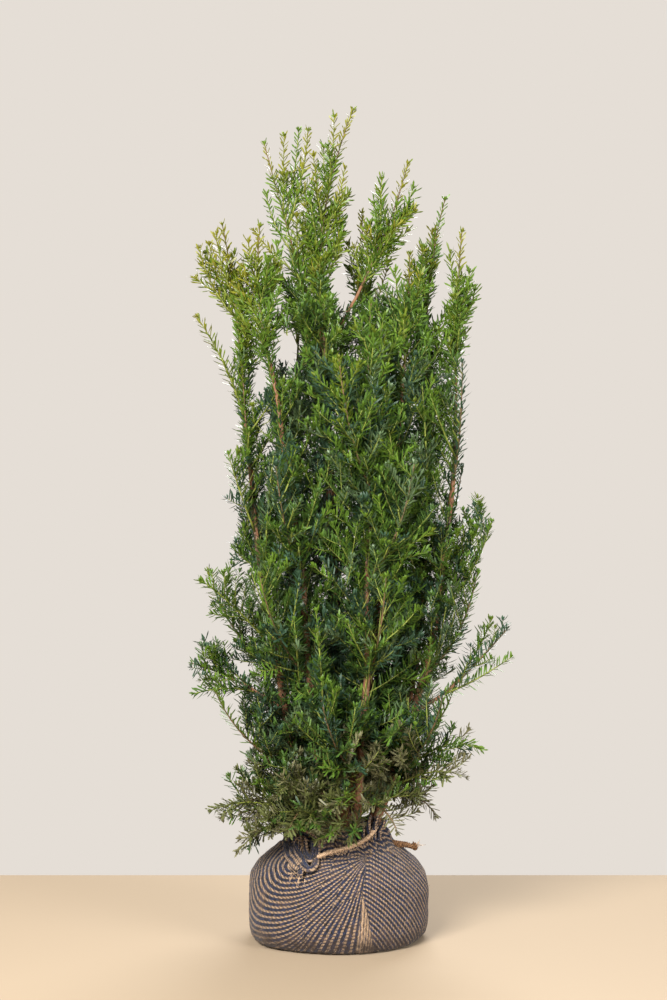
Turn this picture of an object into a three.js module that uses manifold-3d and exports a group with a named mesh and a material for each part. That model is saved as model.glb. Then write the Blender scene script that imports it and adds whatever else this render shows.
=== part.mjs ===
// A young upright yew, 1.36 m tall, with several stems rising out of its cloth-wrapped root ball.
// Millimetres, +Z up, +X to the right and +Y to the back as seen from the front.
// The origin is the middle of the flat underside of the root ball.
import * as THREE from "three";
import { mergeVertices } from "three/addons/utils/BufferGeometryUtils.js";
import Module from "manifold-3d";

const wasm = await Module();
wasm.setup();

// Driving dimensions
const BALL_RADIUS = 146; // the root ball where it is widest
const BALL_TOP = 152; // the level soil that the stems stand on
const FOOT_RADIUS = 116; // the flat underside
const NECK_RADIUS = 88; // the gathered cloth round the stems, outside
const NECK_OPENING = 67; // and inside
const NECK_HEIGHT = 28;
const PLANT_HEIGHT = 1361; // to the tip of the highest shoot
const CLEARANCE = 0.3; // between pieces that touch
const TWIG_RADIUS = 2.3; // from the middle of a three-sided twig to its edges, where it starts
const MASS_STEM_RADIUS = 2.4;
const TWIG_TAPER = 0.55; // the share of its radius that a twig loses on its way
const TWIG_LIFT = 0.5; // how strongly a twig's outer half turns up to the light
const TWIG_SHARES = [1, 0.8, 0.62, 0.45, 0.32]; // a twig without room is shortened, or else left out
const SHORTEST_TWIG = 22;
const NEEDLE_LEAN = 44; // degrees between a needle and its twig
const TIP_NEEDLE_SHARE = 0.75; // needles at a twig's tip are shorter
const NEEDLE_SHARES = [1, 0.7, 0.45]; // a needle without room is shortened, or else left out
const SPACE_MARGIN = 2.6; // from the middle of a twig or needle to where the next mass's space starts
const SMALLEST_DETAILS = [0.05, 0.03, 0.08, 0.02, 0.12]; // of a mass of foliage, in order of preference
const PINCH = 0.003; // two corners of a solid this close would count as one
const GOLDEN_ANGLE = 137.508;

// Half widths of the crown at a few heights: to the left, to the right, and to the front and back.
const CROWN = [
  { height: 160, left: 165, right: 150, deep: 158 },
  { height: 215, left: 208, right: 165, deep: 180 },
  { height: 310, left: 192, right: 228, deep: 190 },
  { height: 430, left: 222, right: 218, deep: 195 },
  { height: 590, left: 222, right: 228, deep: 192 },
  { height: 690, left: 198, right: 246, deep: 184 },
  { height: 800, left: 176, right: 228, deep: 174 },
  { height: 930, left: 165, right: 220, deep: 158 },
  { height: 1045, left: 170, right: 215, deep: 145 },
];

// Each stem stands on the soil at its foot, is drawn towards its bend, and ends at its tip.
const STEMS = {
  leader: { foot: [-10, 6], bend: [5, 15, 620], tip: [-30, 0, 1010], radius: 11 },
  front: { foot: [2, -24], bend: [75, -62, 520], tip: [106, -36, 915], radius: 10 },
  right: { foot: [40, 12], bend: [165, 32, 400], tip: [146, 30, 960], radius: 10 },
  left: { foot: [-34, -12], bend: [-125, -50, 500], tip: [-158, -25, 915], radius: 8.5 },
  mid_left: { foot: [-26, -38], bend: [-55, -112, 700], tip: [-116, -60, 960], radius: 7.5 },
  outer_right: { foot: [42, -20], bend: [192, -44, 480], tip: [192, -24, 920], radius: 8 },
  back_left: { foot: [-26, 34], bend: [-110, 150, 520], tip: [-74, 116, 915], radius: 8.5 },
  back_right: { foot: [20, 40], bend: [112, 150, 500], tip: [58, 106, 930], radius: 8.5 },
  front_mid: { foot: [26, -44], bend: [52, -150, 480], tip: [46, -112, 800], radius: 7 },
};
const STEM_TIP_SHARE = 0.34; // a stem's radius at its tip, as a share of that at its foot
const FLARE = { share: 0.45, height: 30 }; // root flare: extra radius at the foot, and where it ends
const SWAY = 3.2; // how far a stem wanders off its curve

// Boughs: side limbs that are bare before their foliage starts. Each leaves its stem at a height.
const BOUGHS = {
  high_right: { stem: "leader", height: 960, bend: [12, -6, 1015], tip: [38, -9, 1070], radius: 3.6 },
  low_left: { stem: "left", height: 372, bend: [-125, -40, 402], tip: [-160, -36, 420], radius: 3.6 },
  low_right: { stem: "outer_right", height: 372, bend: [165, -30, 392], tip: [198, -26, 424], radius: 3.6 },
};

// Foliage at the tips of the stems and boughs, where "spacing" is how far apart its twigs are, "rings" how
// many times a twig bears needles, "spread" a typical twig's length, "erect" how much of a twig's length
// comes from the height above it, and "open" its angle to the stem. Each needle stands for a few real ones.
const PLUME = { spacing: 52, rings: 3, needle: 25 };
const PLUMES = {
  leader: { tip: [24, -4, PLANT_HEIGHT], spread: 84, erect: 0.5, open: 26 },
  front: { tip: [116, -40, 1118], spread: 70, erect: 0.3, open: 34 },
  right: { tip: [177, 24, 1218], spread: 62, erect: 0.25, open: 32 },
  left: { tip: [-190, -24, 1168], spread: 78, erect: 0.7, open: 28 },
  mid_left: { tip: [-128, -50, 1162], spread: 62, erect: 0.4, open: 30 },
  outer_right: { tip: [202, -18, 1158], spread: 52, erect: 0.25, open: 30 },
  back_left: { tip: [-78, 92, 1150], spread: 76, erect: 0.4, open: 34 },
  back_right: { tip: [40, 84, 1205], spread: 74, erect: 0.4, open: 34 },
  front_mid: { tip: [52, -92, 1035], spread: 74, erect: 0.3, open: 34 },
  high_right: { tip: [114, -6, 1271], spread: 60, erect: 0.6, open: 26 },
  low_left: { tip: [-238, -40, 452], spread: 50, erect: 0.1, open: 38 },
  low_right: { tip: [276, -20, 506], spread: 60, erect: 0.4, open: 30 },
};

// Foliage on the sides of the stems, in tiers: the height it leaves the stem, the height of its tip and
// its share of the crown's half width, how many there are, and the bearing of the first, in degrees from
// the right towards the back.
const SIDE = { spacing: 28, rings: 2, needle: 44, erect: 0.25 };
const TIERS = [
  { name: "skirt", from: 232, to: 196, share: 1, count: 6, first: 183, spread: 110, open: 50 },
  { name: "low", from: 270, to: 410, share: 1, count: 6, first: 22, spread: 96, open: 46 },
  { name: "middle", from: 430, to: 600, share: 1, count: 6, first: 352, spread: 96, open: 44 },
  { name: "upper", from: 590, to: 775, share: 1, count: 5, first: 20, spread: 96, open: 42 },
  { name: "high", from: 745, to: 940, share: 1, count: 5, first: 342, spread: 90, open: 40 },
  { name: "crest", from: 835, to: 1045, share: 0.42, count: 3, first: 246, spread: 90, open: 36 },
];

// Foliage that fans out to the left of the leader's tip
const FAN = { stem: "leader", from: 985, tip: [-112, -8, 1304], spread: 90, erect: 0.5, open: 34 };

const point = (v) => new THREE.Vector3(...v);
const radians = THREE.MathUtils.degToRad;
const UP = new THREE.Vector3(0, 0, 1);

// A number from 0 to 1 that depends only on three whole numbers.
function chance(a, b, c) {
  let h = Math.imul(a + 1, 374761393) ^ Math.imul(b + 1, 668265263) ^ Math.imul(c + 1, 974634777);
  h = Math.imul(h ^ (h >>> 13), 1274126177);
  h = Math.imul(h ^ (h >>> 15), 2246822519);
  return ((h ^ (h >>> 16)) >>> 0) / 4294967296;
}

// A three.js geometry as a solid that can be joined and cut.
function solidOf(geometry) {
  const bare = geometry.clone().deleteAttribute("normal").deleteAttribute("uv");
  const merged = mergeVertices(bare, 1e-4);
  return new wasm.Manifold(
    new wasm.Mesh({
      numProp: 3,
      vertProperties: new Float32Array(merged.attributes.position.array),
      triVerts: new Uint32Array(merged.index.array),
    }),
  );
}

// The largest closed body of a solid, with any sealed hollow filled, as a three.js geometry.
function geometryOf(solid) {
  const bodies = solid.decompose().sort((a, b) => b.volume() - a.volume());
  const mesh = bodies[0].getMesh();
  const geometry = new THREE.BufferGeometry();
  const places = new Float32Array(mesh.numVert * 3);
  for (let i = 0; i < mesh.numVert; i++) places.set(mesh.position(i), i * 3);
  geometry.setAttribute("position", new THREE.BufferAttribute(places, 3));
  geometry.setIndex(new THREE.BufferAttribute(new Uint32Array(mesh.triVerts), 1));
  geometry.computeVertexNormals();
  return geometry;
}

// A limb's centreline: a quadratic curve that also wanders a little, and not at its ends.
function limbCurve(from, bend, to, sway, seed) {
  const smooth = new THREE.QuadraticBezierCurve3(point(from), point(bend), point(to));
  const turn = 2 * Math.PI * chance(seed, 7, 7);
  const at = (t) => {
    const wander = sway * Math.sin(Math.PI * t) * Math.sin(5 * Math.PI * t + turn);
    const p = smooth.getPoint(t);
    p.x += wander * Math.cos(turn);
    p.y += wander * Math.sin(turn);
    return p;
  };
  return { at, tangent: (t) => at(Math.min(1, t + 0.01)).sub(at(Math.max(0, t - 0.01))).normalize() };
}

// A cylinder bent along a curve, with its radius a function of the way along.
function bentTube(curve, radiusAt, sides, steps, from = 0, to = 1) {
  const tube = new THREE.CylinderGeometry(1, 1, 1, sides, steps);
  const places = tube.attributes.position;
  const steady = leastAxis(curve.at(to).sub(curve.at(from)));
  for (let i = 0; i < places.count; i++) {
    const t = from + (to - from) * (places.getY(i) + 0.5);
    const tangent = curve.tangent(t);
    const across = steady.clone().projectOnPlane(tangent).normalize();
    const deep = tangent.clone().cross(across);
    const p = curve
      .at(t)
      .addScaledVector(across, places.getX(i) * radiusAt(t))
      .addScaledVector(deep, -places.getZ(i) * radiusAt(t));
    places.setXYZ(i, p.x, p.y, p.z);
  }
  return tube;
}

// The axis that a way goes along the least. Seen from there, a tube along that way never twists.
function leastAxis(way) {
  const axes = [new THREE.Vector3(1, 0, 0), new THREE.Vector3(0, 1, 0), new THREE.Vector3(0, 0, 1)];
  return axes.sort((a, b) => Math.abs(a.dot(way)) - Math.abs(b.dot(way)))[0];
}

// A level unit vector square to a direction.
function sideways(direction) {
  const flat = new THREE.Vector3(-direction.y, direction.x, 0);
  return flat.lengthSq() < 1e-6 ? new THREE.Vector3(1, 0, 0) : flat.normalize();
}

// The nearest way from a point to a row of stations, less their radii.
function distanceTo(stations, p) {
  const line = new THREE.Line3();
  const near = new THREE.Vector3();
  let best = Infinity;
  for (let i = 0; i + 1 < stations.length; i++) {
    line.set(stations[i].p, stations[i + 1].p);
    const share = line.closestPointToPointParameter(p, true);
    line.at(share, near);
    const radius = THREE.MathUtils.lerp(stations[i].r, stations[i + 1].r, share);
    best = Math.min(best, near.distanceTo(p) - radius);
  }
  return best;
}

const stationsOf = (curve, radiusAt, count) =>
  Array.from({ length: count + 1 }, (_, i) => ({ p: curve.at(i / count), r: radiusAt(i / count) }));

// Limbs: the stems, with their root flare, and the boughs
function makeStem(name, index) {
  const { foot, bend, tip, radius } = STEMS[name];
  const ground = BALL_TOP + CLEARANCE;
  const curve = limbCurve([...foot, ground], bend, tip, SWAY, index);
  const radiusAt = (t) => {
    const flare = FLARE.share * Math.max(0, 1 - (curve.at(t).z - ground) / FLARE.height) ** 2;
    return radius * (1 - (1 - STEM_TIP_SHARE) * t + flare);
  };
  return { name: "stem_" + name, key: name, curve, radiusAt, sides: 6, steps: 9, level: true };
}

function makeBough(name, index, stems) {
  const { stem, height, bend, tip, radius } = BOUGHS[name];
  const carrier = stems.find((s) => s.key === stem);
  const from = pointAtHeight(carrier.curve, height).toArray();
  const curve = limbCurve(from, bend, tip, SWAY / 3, index);
  const radiusAt = (t) => radius * (1 - 0.4 * t);
  return { name: "bough_" + name, key: name, curve, radiusAt, sides: 6, steps: 4, carrier };
}

function pointAtHeight(curve, height) {
  let low = 0;
  let high = 1;
  for (let i = 0; i < 30; i++) {
    const middle = (low + high) / 2;
    if (curve.at(middle).z < height) low = middle;
    else high = middle;
  }
  return curve.at(low);
}

// The stem stands on level soil, so its foot is cut level.
function limbSolid(limb, grow = 0) {
  const tube = bentTube(limb.curve, (t) => limb.radiusAt(t) + grow, limb.sides, limb.steps);
  if (limb.level) {
    const places = tube.attributes.position;
    const ground = BALL_TOP + CLEARANCE;
    const lowest = limb.curve.at(1 / limb.steps).z;
    for (let i = 0; i < places.count; i++) {
      const isFoot = places.getZ(i) < (ground + lowest) / 2;
      if (isFoot) places.setZ(i, ground - grow);
    }
  }
  return solidOf(tube);
}

// The crown's half width at a height and bearing, between its widths to the side and to the front.
function crownReach(height, bearing) {
  let i = 0;
  while (i < CROWN.length - 2 && CROWN[i + 1].height < height) i++;
  const share = THREE.MathUtils.clamp(
    (height - CROWN[i].height) / (CROWN[i + 1].height - CROWN[i].height), 0, 1);
  const side = Math.cos(bearing) > 0 ? "right" : "left";
  const across = THREE.MathUtils.lerp(CROWN[i][side], CROWN[i + 1][side], share);
  const deep = THREE.MathUtils.lerp(CROWN[i].deep, CROWN[i + 1].deep, share);
  return 1 / Math.hypot(Math.cos(bearing) / across, Math.sin(bearing) / deep);
}

// Where each mass of foliage starts, bends and ends
function plumeOf(limb, index) {
  const { tip, spread, erect, open } = PLUMES[limb.key];
  const from = limb.curve.at(1).addScaledVector(limb.curve.tangent(1), CLEARANCE);
  const bend = from.clone().addScaledVector(limb.curve.tangent(1), from.distanceTo(point(tip)) / 2);
  return { name: "foliage_" + limb.key, from, bend, tip: point(tip), spread, erect, open, index, ...PLUME };
}

function sideMassOf(tier, i, index, stems) {
  const bearing = radians(tier.first + (360 * i) / tier.count);
  const reach = crownReach(tier.to, bearing) * tier.share;
  const tip = new THREE.Vector3(reach * Math.cos(bearing), reach * Math.sin(bearing), tier.to);
  const stem = nearestStem(stems, tier.from, tip);
  const from = pointAtHeight(stem.curve, tier.from);
  const bend = new THREE.Vector3(
    THREE.MathUtils.lerp(from.x, tip.x, 0.75),
    THREE.MathUtils.lerp(from.y, tip.y, 0.75),
    THREE.MathUtils.lerp(tier.from, Math.max(tier.to, tier.from), 0.3) + 6,
  );
  const name = `foliage_${tier.name}_${i + 1}`;
  return { name, from, bend, tip, spread: tier.spread, open: tier.open, index, stem, ...SIDE };
}

function fanOf(index, stems) {
  const stem = stems.find((s) => s.key === FAN.stem);
  const from = pointAtHeight(stem.curve, FAN.from);
  const tip = point(FAN.tip);
  const bend = from.clone().lerp(tip, 0.4).addScaledVector(UP, -25);
  const { spread, erect, open } = FAN;
  return { name: "foliage_leader_fan", from, bend, tip, spread, erect, open, index, stem, ...PLUME };
}

function nearestStem(stems, height, tip) {
  const tall = stems.filter((s) => s.curve.at(1).z > height + 30);
  const away = (s) => pointAtHeight(s.curve, height).setZ(0).distanceTo(tip.clone().setZ(0));
  return tall.sort((a, b) => away(a) - away(b))[0];
}

// Twigs leave a mass's stem in a spiral, open outwards and lift towards the light.
function twigOf(mass, i, count) {
  const draw = (k) => chance(mass.index, i, k);
  const share = (i + 0.5) / count;
  const t = 0.08 + 0.84 * share + 0.04 * (draw(1) - 0.5);
  const from = mass.curve.at(t);
  const tangent = mass.curve.tangent(t);
  const turn = radians(GOLDEN_ANGLE * i + 360 * chance(mass.index, 0, 9));
  const open = radians(mass.open * (0.8 + 0.4 * draw(2)));
  const across = sideways(tangent);
  const outward = across.clone().multiplyScalar(Math.cos(turn))
    .addScaledVector(tangent.clone().cross(across), Math.sin(turn));
  const direction = tangent.clone().multiplyScalar(Math.cos(open)).addScaledVector(outward, Math.sin(open));
  const full = mass.spread * (0.55 + 0.75 * Math.sin(Math.PI * (0.2 + 0.72 * share)));
  const rising = (1 - t) * mass.length * (0.72 + 0.34 * draw(3));
  const length = THREE.MathUtils.lerp(full * (0.75 + 0.35 * draw(4)), rising, mass.erect);
  return { from, direction, length, seed: i };
}

function twigCurve(twig, share) {
  const length = twig.length * share;
  const bend = twig.from.clone().addScaledVector(twig.direction, length * 0.55);
  const lifted = twig.direction.clone().addScaledVector(UP, TWIG_LIFT).normalize();
  const tip = bend.clone().addScaledVector(lifted, length * 0.45);
  const smooth = new THREE.QuadraticBezierCurve3(twig.from, bend, tip);
  return { at: (t) => smooth.getPoint(t), tangent: (t) => smooth.getTangent(t), length };
}

// A spray: a three-sided twig, pointed at both ends, with needles all round. Each needle is a spike
// drawn out of one of the twig's own faces, so that twig and needles are one closed surface.
function spray(curve, radius, rings, needle, accept) {
  const places = [curve.at(0)];
  const ways = [0]; // how far along the curve each of the places is
  const steady = leastAxis(curve.at(1).sub(curve.at(0)));
  for (let k = 1; k <= rings; k++) {
    const t = k / (rings + 1);
    const across = steady.clone().projectOnPlane(curve.tangent(t)).normalize();
    const lift = curve.tangent(t).cross(across);
    for (let side = 0; side < 3; side++) {
      const turn = radians(90 + 120 * side);
      const offset = across.clone().multiplyScalar(Math.cos(turn)).addScaledVector(lift, Math.sin(turn));
      places.push(curve.at(t).addScaledVector(offset, radius * (1 - TWIG_TAPER * t)));
      ways.push(t);
    }
  }
  const end = places.push(curve.at(1)) - 1;
  ways.push(1);
  const lean = radians(NEEDLE_LEAN);
  const bare = twigFaces(rings, end);
  let faces = bare;
  for (const face of bare.filter((corners) => !corners.includes(0))) {
    const t = (ways[face[0]] + ways[face[1]] + ways[face[2]]) / 3;
    const middle = new THREE.Vector3();
    for (const corner of face) middle.addScaledVector(places[corner], 1 / 3);
    const outward = middle.clone().sub(curve.at(t)).normalize();
    const along = curve.tangent(t).multiplyScalar(Math.cos(lean)).addScaledVector(outward, Math.sin(lean));
    const others = faces.filter((other) => other !== face);
    const spike = places.length;
    const sides = face.map((corner, k) => [corner, face[(k + 1) % 3], spike]);
    for (const share of NEEDLE_SHARES) {
      const length = needle * share * THREE.MathUtils.lerp(1, TIP_NEEDLE_SHARE, t);
      const tip = middle.clone().addScaledVector(along, length);
      places[spike] = tip;
      if (accept([middle.clone().lerp(tip, 0.5), tip]) && !passThrough(sides, others, places)) {
        faces = [...others, ...sides];
        break;
      }
      places.pop();
    }
  }
  return solidOf(new THREE.BufferGeometry().setFromPoints(places).setIndex(faces.flat()));
}

// Whether an edge of one set of faces goes through a face of the other set.
function passThrough(some, others, places) {
  const pierces = (face, other) =>
    face.some((from, k) => {
      const to = face[(k + 1) % 3];
      if (other.includes(from) || other.includes(to)) return false;
      const way = places[to].clone().sub(places[from]);
      const ray = new THREE.Ray(places[from], way.clone().normalize());
      const hit = ray.intersectTriangle(...other.map((corner) => places[corner]), false, new THREE.Vector3());
      return hit !== null && hit.distanceTo(places[from]) < way.length();
    });
  return some.some((face) => others.some((other) => pierces(face, other) || pierces(other, face)));
}

// The faces of a three-sided twig: its start is place 0, and each ring takes three places.
function twigFaces(rings, end) {
  const faces = [];
  for (let side = 0; side < 3; side++) {
    const next = (side + 1) % 3;
    faces.push([1 + next, 1 + side, 0], [end - 3 + side, end - 3 + next, end]);
    for (let k = 0; k + 1 < rings; k++) {
      const low = 1 + 3 * k;
      const high = low + 3;
      faces.push([low + side, low + next, high + next], [low + side, high + next, high + side]);
    }
  }
  return faces;
}

// A mass keeps to the space that is nearer to its own stem than to any other, clear of limbs and ball,
// inside the crown, and reaches no further from its start than its tip does.
function keepsToItsSpace(mass, places, masses, limbs) {
  return places.every((p) => {
    if (p.distanceTo(mass.from) > mass.length) return false;
    const own = distanceTo(mass.stations, p);
    if (masses.some((m) => m !== mass && distanceTo(m.stations, p) < own + SPACE_MARGIN)) return false;
    if (limbs.some((l) => distanceTo(l.stations, p) < SPACE_MARGIN)) return false;
    const r = Math.hypot(p.x, p.y);
    if (mass.stem && r > crownReach(p.z, Math.atan2(p.y, p.x))) return false;
    if (p.z > PLANT_HEIGHT) return false;
    const overCloth = p.z > BALL_TOP + 8 && r > NECK_RADIUS + 8;
    return overCloth || p.z > BALL_TOP + 1.6 * NECK_HEIGHT || r > BALL_RADIUS + 12;
  });
}

function massSolid(mass, masses, limbs) {
  const others = limbs.filter((l) => l !== mass.stem);
  const accept = (places) => keepsToItsSpace(mass, places, masses, limbs);
  const stem = spray(mass.curve, MASS_STEM_RADIUS, mass.rings + 2, mass.needle, accept);
  const twigs = [];
  const count = Math.round(mass.length / mass.spacing);
  for (let i = 0; i < count; i++) {
    const twig = twigOf(mass, 2 * i, 2 * count);
    const share = TWIG_SHARES.find((share) => {
      const curve = twigCurve(twig, share);
      const places = [0.35, 0.6, 0.8, 1].map((t) => curve.at(t));
      return curve.length > SHORTEST_TWIG && keepsToItsSpace(mass, places, masses, others);
    });
    if (share) twigs.push(spray(twigCurve(twig, share), TWIG_RADIUS, mass.rings, mass.needle, accept));
  }
  return joinedCleanly(stem, twigs, limbs);
}

// The stem and its twigs as one solid, clear of the limbs. A twig is left out where corners would touch.
function joinedCleanly(stem, twigs, limbs) {
  const allButOne = twigs.map((left) => twigs.filter((twig) => twig !== left));
  for (const kept of [twigs, ...allButOne]) {
    for (const detail of SMALLEST_DETAILS) {
      const joined = wasm.Manifold.union([stem, ...kept]).simplify(detail);
      const solid = clearOf(joined, limbs).simplify(detail);
      if (!isPinched(solid)) return solid;
    }
  }
  return joinedCleanly(stem, twigs.slice(1), limbs);
}

function isPinched(solid) {
  const mesh = solid.getMesh();
  const corners = Array.from({ length: mesh.numVert }, (_, i) => point(mesh.position(i)));
  return corners.some((p, i) => corners.slice(i + 1).some((q) => p.distanceTo(q) < PINCH));
}

// A solid with the limbs that cross it cut out of it
function clearOf(solid, limbs) {
  for (const limb of limbs) {
    const room = limbSolid(limb, CLEARANCE);
    if (solid.intersect(room).volume() > 0) solid = solid.subtract(room);
  }
  return solid;
}

// The root ball: soil in a tight cloth, flat underneath, with its left shoulder fuller than its right.
function ballOutline() {
  const outline = [[0, 0], [FOOT_RADIUS, 0], [130, 6], [140, 22], [BALL_RADIUS, 48], [BALL_RADIUS, 80]];
  outline.push([141, 105], [127, 127], [108, 142], [96, BALL_TOP], [0, BALL_TOP]);
  return outline.map(([r, z]) => new THREE.Vector2(r, z));
}

function shapeBall(x, y, z) {
  const bearing = Math.atan2(y, x);
  const free = Math.sin(Math.PI * THREE.MathUtils.clamp(z / (BALL_TOP - 4), 0, 1));
  const shoulder = 0.045 * Math.max(0, -Math.cos(bearing)) * THREE.MathUtils.smoothstep(z, 70, 130);
  const lumps = 0.014 * Math.cos(2 * bearing + 0.6) + 0.01 * Math.cos(5 * bearing + 1.1);
  const scale = 1 + free * (lumps + shoulder);
  return [x * scale, y * scale, z];
}

function turnedSolid(outline, segments, shape) {
  const turned = new THREE.LatheGeometry(outline, segments);
  turned.rotateX(Math.PI / 2);
  const places = turned.attributes.position;
  for (let i = 0; i < places.count; i++)
    places.setXYZ(i, ...shape(places.getX(i), places.getY(i), places.getZ(i)));
  return solidOf(turned);
}

// The cloth is gathered round the stems in ruffles, and stands highest at the right.
function neckOutline() {
  const low = BALL_TOP + CLEARANCE;
  const outline = [[NECK_OPENING, low], [NECK_RADIUS, low], [NECK_RADIUS - 5, low + 10]];
  outline.push([NECK_RADIUS - 3, low + 22], [NECK_RADIUS - 10, low + NECK_HEIGHT]);
  outline.push([NECK_OPENING + 2, low + NECK_HEIGHT - 8], [NECK_OPENING, low]);
  return outline.map(([r, z]) => new THREE.Vector2(r, z));
}

function shapeNeck(x, y, z) {
  const low = BALL_TOP + CLEARANCE;
  const bearing = Math.atan2(y, x);
  const rise = (z - low) / NECK_HEIGHT;
  const peak = Math.exp(-(((bearing + radians(22)) / 0.42) ** 2));
  const height = NECK_HEIGHT * (0.72 + 0.1 * Math.cos(7 * bearing) + 0.62 * peak);
  const ruffle = 1 + rise * (0.03 * Math.cos(11 * bearing) - 0.05);
  return [x * ruffle, y * ruffle, low + rise * height];
}

const lump = (x, y, z, rx, ry, rz) =>
  solidOf(new THREE.IcosahedronGeometry(1, 1).scale(rx, ry, rz).translate(x, y, z));

function tail(from, bend, to, radius) {
  const curve = limbCurve(from, bend, to, 0, 0);
  return solidOf(bentTube(curve, (t) => radius * (1 - 0.55 * t), 6, 4));
}

// The corner of the cloth is tied in a knot that hangs on the front of the left shoulder.
function frontKnot(ballSolid) {
  const knot = wasm.Manifold.union([
    lump(-47, -113, 141, 17, 12, 15),
    lump(-62, -107, 134, 12, 10, 13),
    tail([-58, -112, 134], [-64, -124, 122], [-58, -132, 104], 7),
  ]);
  return knot.subtract(ballSolid.scale([1.003, 1.003, 1.0025]));
}

// Another corner sticks out at the right, twisted, and ends in a knob.
function sideTail(ballSolid) {
  const twist = wasm.Manifold.union([
    tail([92, -8, 151], [112, -10, 152], [124, -10, 146], 7),
    lump(128, -10, 147, 9, 7, 7),
  ]);
  return twist.subtract(ballSolid.scale([1.003, 1.003, 1.0025]));
}

const finish = (color, roughness) => new THREE.MeshStandardMaterial({ color, roughness, metalness: 0 });
const CLOTH = finish(0x6f675e, 0.95);
const BARK = finish(0x7a4c35, 0.85);
const LEAVES = finish(0x3c5a2b, 0.6);

const yew = new THREE.Group();
function addNode(name, solid, material) {
  const mesh = new THREE.Mesh(geometryOf(solid), material);
  mesh.name = name;
  yew.add(mesh);
}

const ball = turnedSolid(ballOutline(), 30, shapeBall);
addNode("root_ball", ball, CLOTH);
addNode("front_knot", frontKnot(ball), CLOTH);
addNode("side_tail", sideTail(ball), CLOTH);

const stems = Object.keys(STEMS).map(makeStem);
const boughs = Object.keys(BOUGHS).map((name, i) => makeBough(name, 40 + i, stems));
const limbs = [...stems, ...boughs];
for (const limb of limbs) limb.stations = stationsOf(limb.curve, limb.radiusAt, 16);
addNode("cloth_neck", clearOf(turnedSolid(neckOutline(), 30, shapeNeck), limbs), CLOTH);
for (const limb of limbs) {
  let solid = limbSolid(limb);
  if (limb.carrier) solid = solid.subtract(limbSolid(limb.carrier, CLEARANCE));
  addNode(limb.name, solid, BARK);
}

const masses = limbs.map((limb, i) => plumeOf(limb, 100 + i));
masses.push(fanOf(150, stems));
TIERS.forEach((tier, k) => {
  for (let i = 0; i < tier.count; i++) masses.push(sideMassOf(tier, i, 200 + 20 * k + i, stems));
});
for (const mass of masses) {
  mass.curve = limbCurve(mass.from.toArray(), mass.bend.toArray(), mass.tip.toArray(), 1.5, mass.index);
  mass.length = mass.from.distanceTo(mass.tip);
  mass.stations = stationsOf(mass.curve, () => 0, 8);
}
for (const mass of masses) addNode(mass.name, massSolid(mass, masses, limbs), LEAVES);

export default yew;
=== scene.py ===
# A young upright yew, lifted with its soil and wrapped in knitted cloth, stands on a pale floor. It is put
# together here from the ground up: cloth, soil, stems, twigs and needles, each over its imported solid.
import math

import bpy
import numpy as np
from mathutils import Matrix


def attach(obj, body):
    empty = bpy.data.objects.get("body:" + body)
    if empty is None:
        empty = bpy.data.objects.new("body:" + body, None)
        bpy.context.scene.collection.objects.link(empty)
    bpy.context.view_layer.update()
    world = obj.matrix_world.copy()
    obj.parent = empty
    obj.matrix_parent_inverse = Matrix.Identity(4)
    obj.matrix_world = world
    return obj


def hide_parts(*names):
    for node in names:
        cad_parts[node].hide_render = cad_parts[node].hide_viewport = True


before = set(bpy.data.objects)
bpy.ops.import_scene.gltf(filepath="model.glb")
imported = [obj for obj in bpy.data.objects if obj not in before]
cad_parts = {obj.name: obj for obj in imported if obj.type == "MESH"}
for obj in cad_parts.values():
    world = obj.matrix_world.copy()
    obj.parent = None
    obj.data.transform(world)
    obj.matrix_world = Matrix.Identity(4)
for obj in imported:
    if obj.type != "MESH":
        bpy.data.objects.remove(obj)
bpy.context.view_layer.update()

# The root ball's cloth. The real one is a square of knitted net in rows of dark blue and tan yarn, drawn up
# tight round the soil. Its rows fan out from a gather at the front right, and swing round the left shoulder.
MM = 0.001
# The ball's outline from its middle underneath to the neck: radius and height
BALL_OUTLINE = np.array(
    [(2, 0.6), (129, 0.6), (137, 3), (141, 9), (144, 22), (146, 48), (145, 80), (140, 105), (127, 127),
     (108, 143), (95, 152)], float
)
BALL_TOP = 152.0
FOOT_RADIUS = 131.0  # where the flat underside turns up into the foot
UNDER_ROWS = 13  # rows of the mesh on the underside
FRONT_FOOT = (-0.95, 0.4, 0.055)  # the pushed-out foot: its bearing off the front, its width and its swell
SHOULDER_SWELL = 0.045
CLOTH_GIRTH = 135.0  # millimetres of cloth for each radian round the ball
FRONT = -math.pi / 2  # bearing of the front, from the right towards the back
BALL_COLUMNS = 520
BALL_ROWS = 186
# The rows' pattern lies on a plane that leans back by ROW_LEAN: places on it are to the right and up, in mm
ROW_LEAN = 0.22
EVEN_FROM = 0.8  # from this bearing off the front, the pattern goes on evenly round the ball
ROW_PITCH = 7.8  # one dark and one tan row
RIGHT_PITCH = 6.2  # the same, right of the seam
STITCH = 5.4  # from one stitch to the next along a row
GATHER = (49.0, 126.0)  # where the rows would meet
SHOULDER = (-103.0, 112.0)  # what the left rows swing round
SHOULDER_LEAN = 26.0  # how far right the pattern leans at the shoulder's height
RIGHT_CENTRE = (-49.0, -95.0)  # what the rows right of the seam swing round
SEAM = np.array([(-26, 27), (8, 30.5), (47, 36.3), (93, 40.9), (114, 42.9), (131, 46), (150, 50)], float)
ROW_EASE = 0.34  # the share of the way across in which the rows turn up to the gather
LEAST_PITCH = 4.3  # where rows would run closer than this, every other one ends
FOOT = -28.0  # where the foot lies on the plane
LOWEST_ROW = -34.0  # rows that would cross the shoulder's line lower than this end at the foot
FOOT_PITCH = 12.6  # from row to row along the foot
GUSSET = (22.0, 66.0)  # the plain strip right of the seam: its width at no height, and where it ends
YARN_RELIEF = 0.75  # how far a row of yarn stands out
DENTS = (1.5, 0.7)  # the depth of the broad dents and of the small ones
SEAM_DEPTH = 2.2
SEAM_LIP = 1.1  # how far the cloth stands out beside the seam
PLEAT_DEPTH = 2.6
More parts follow.
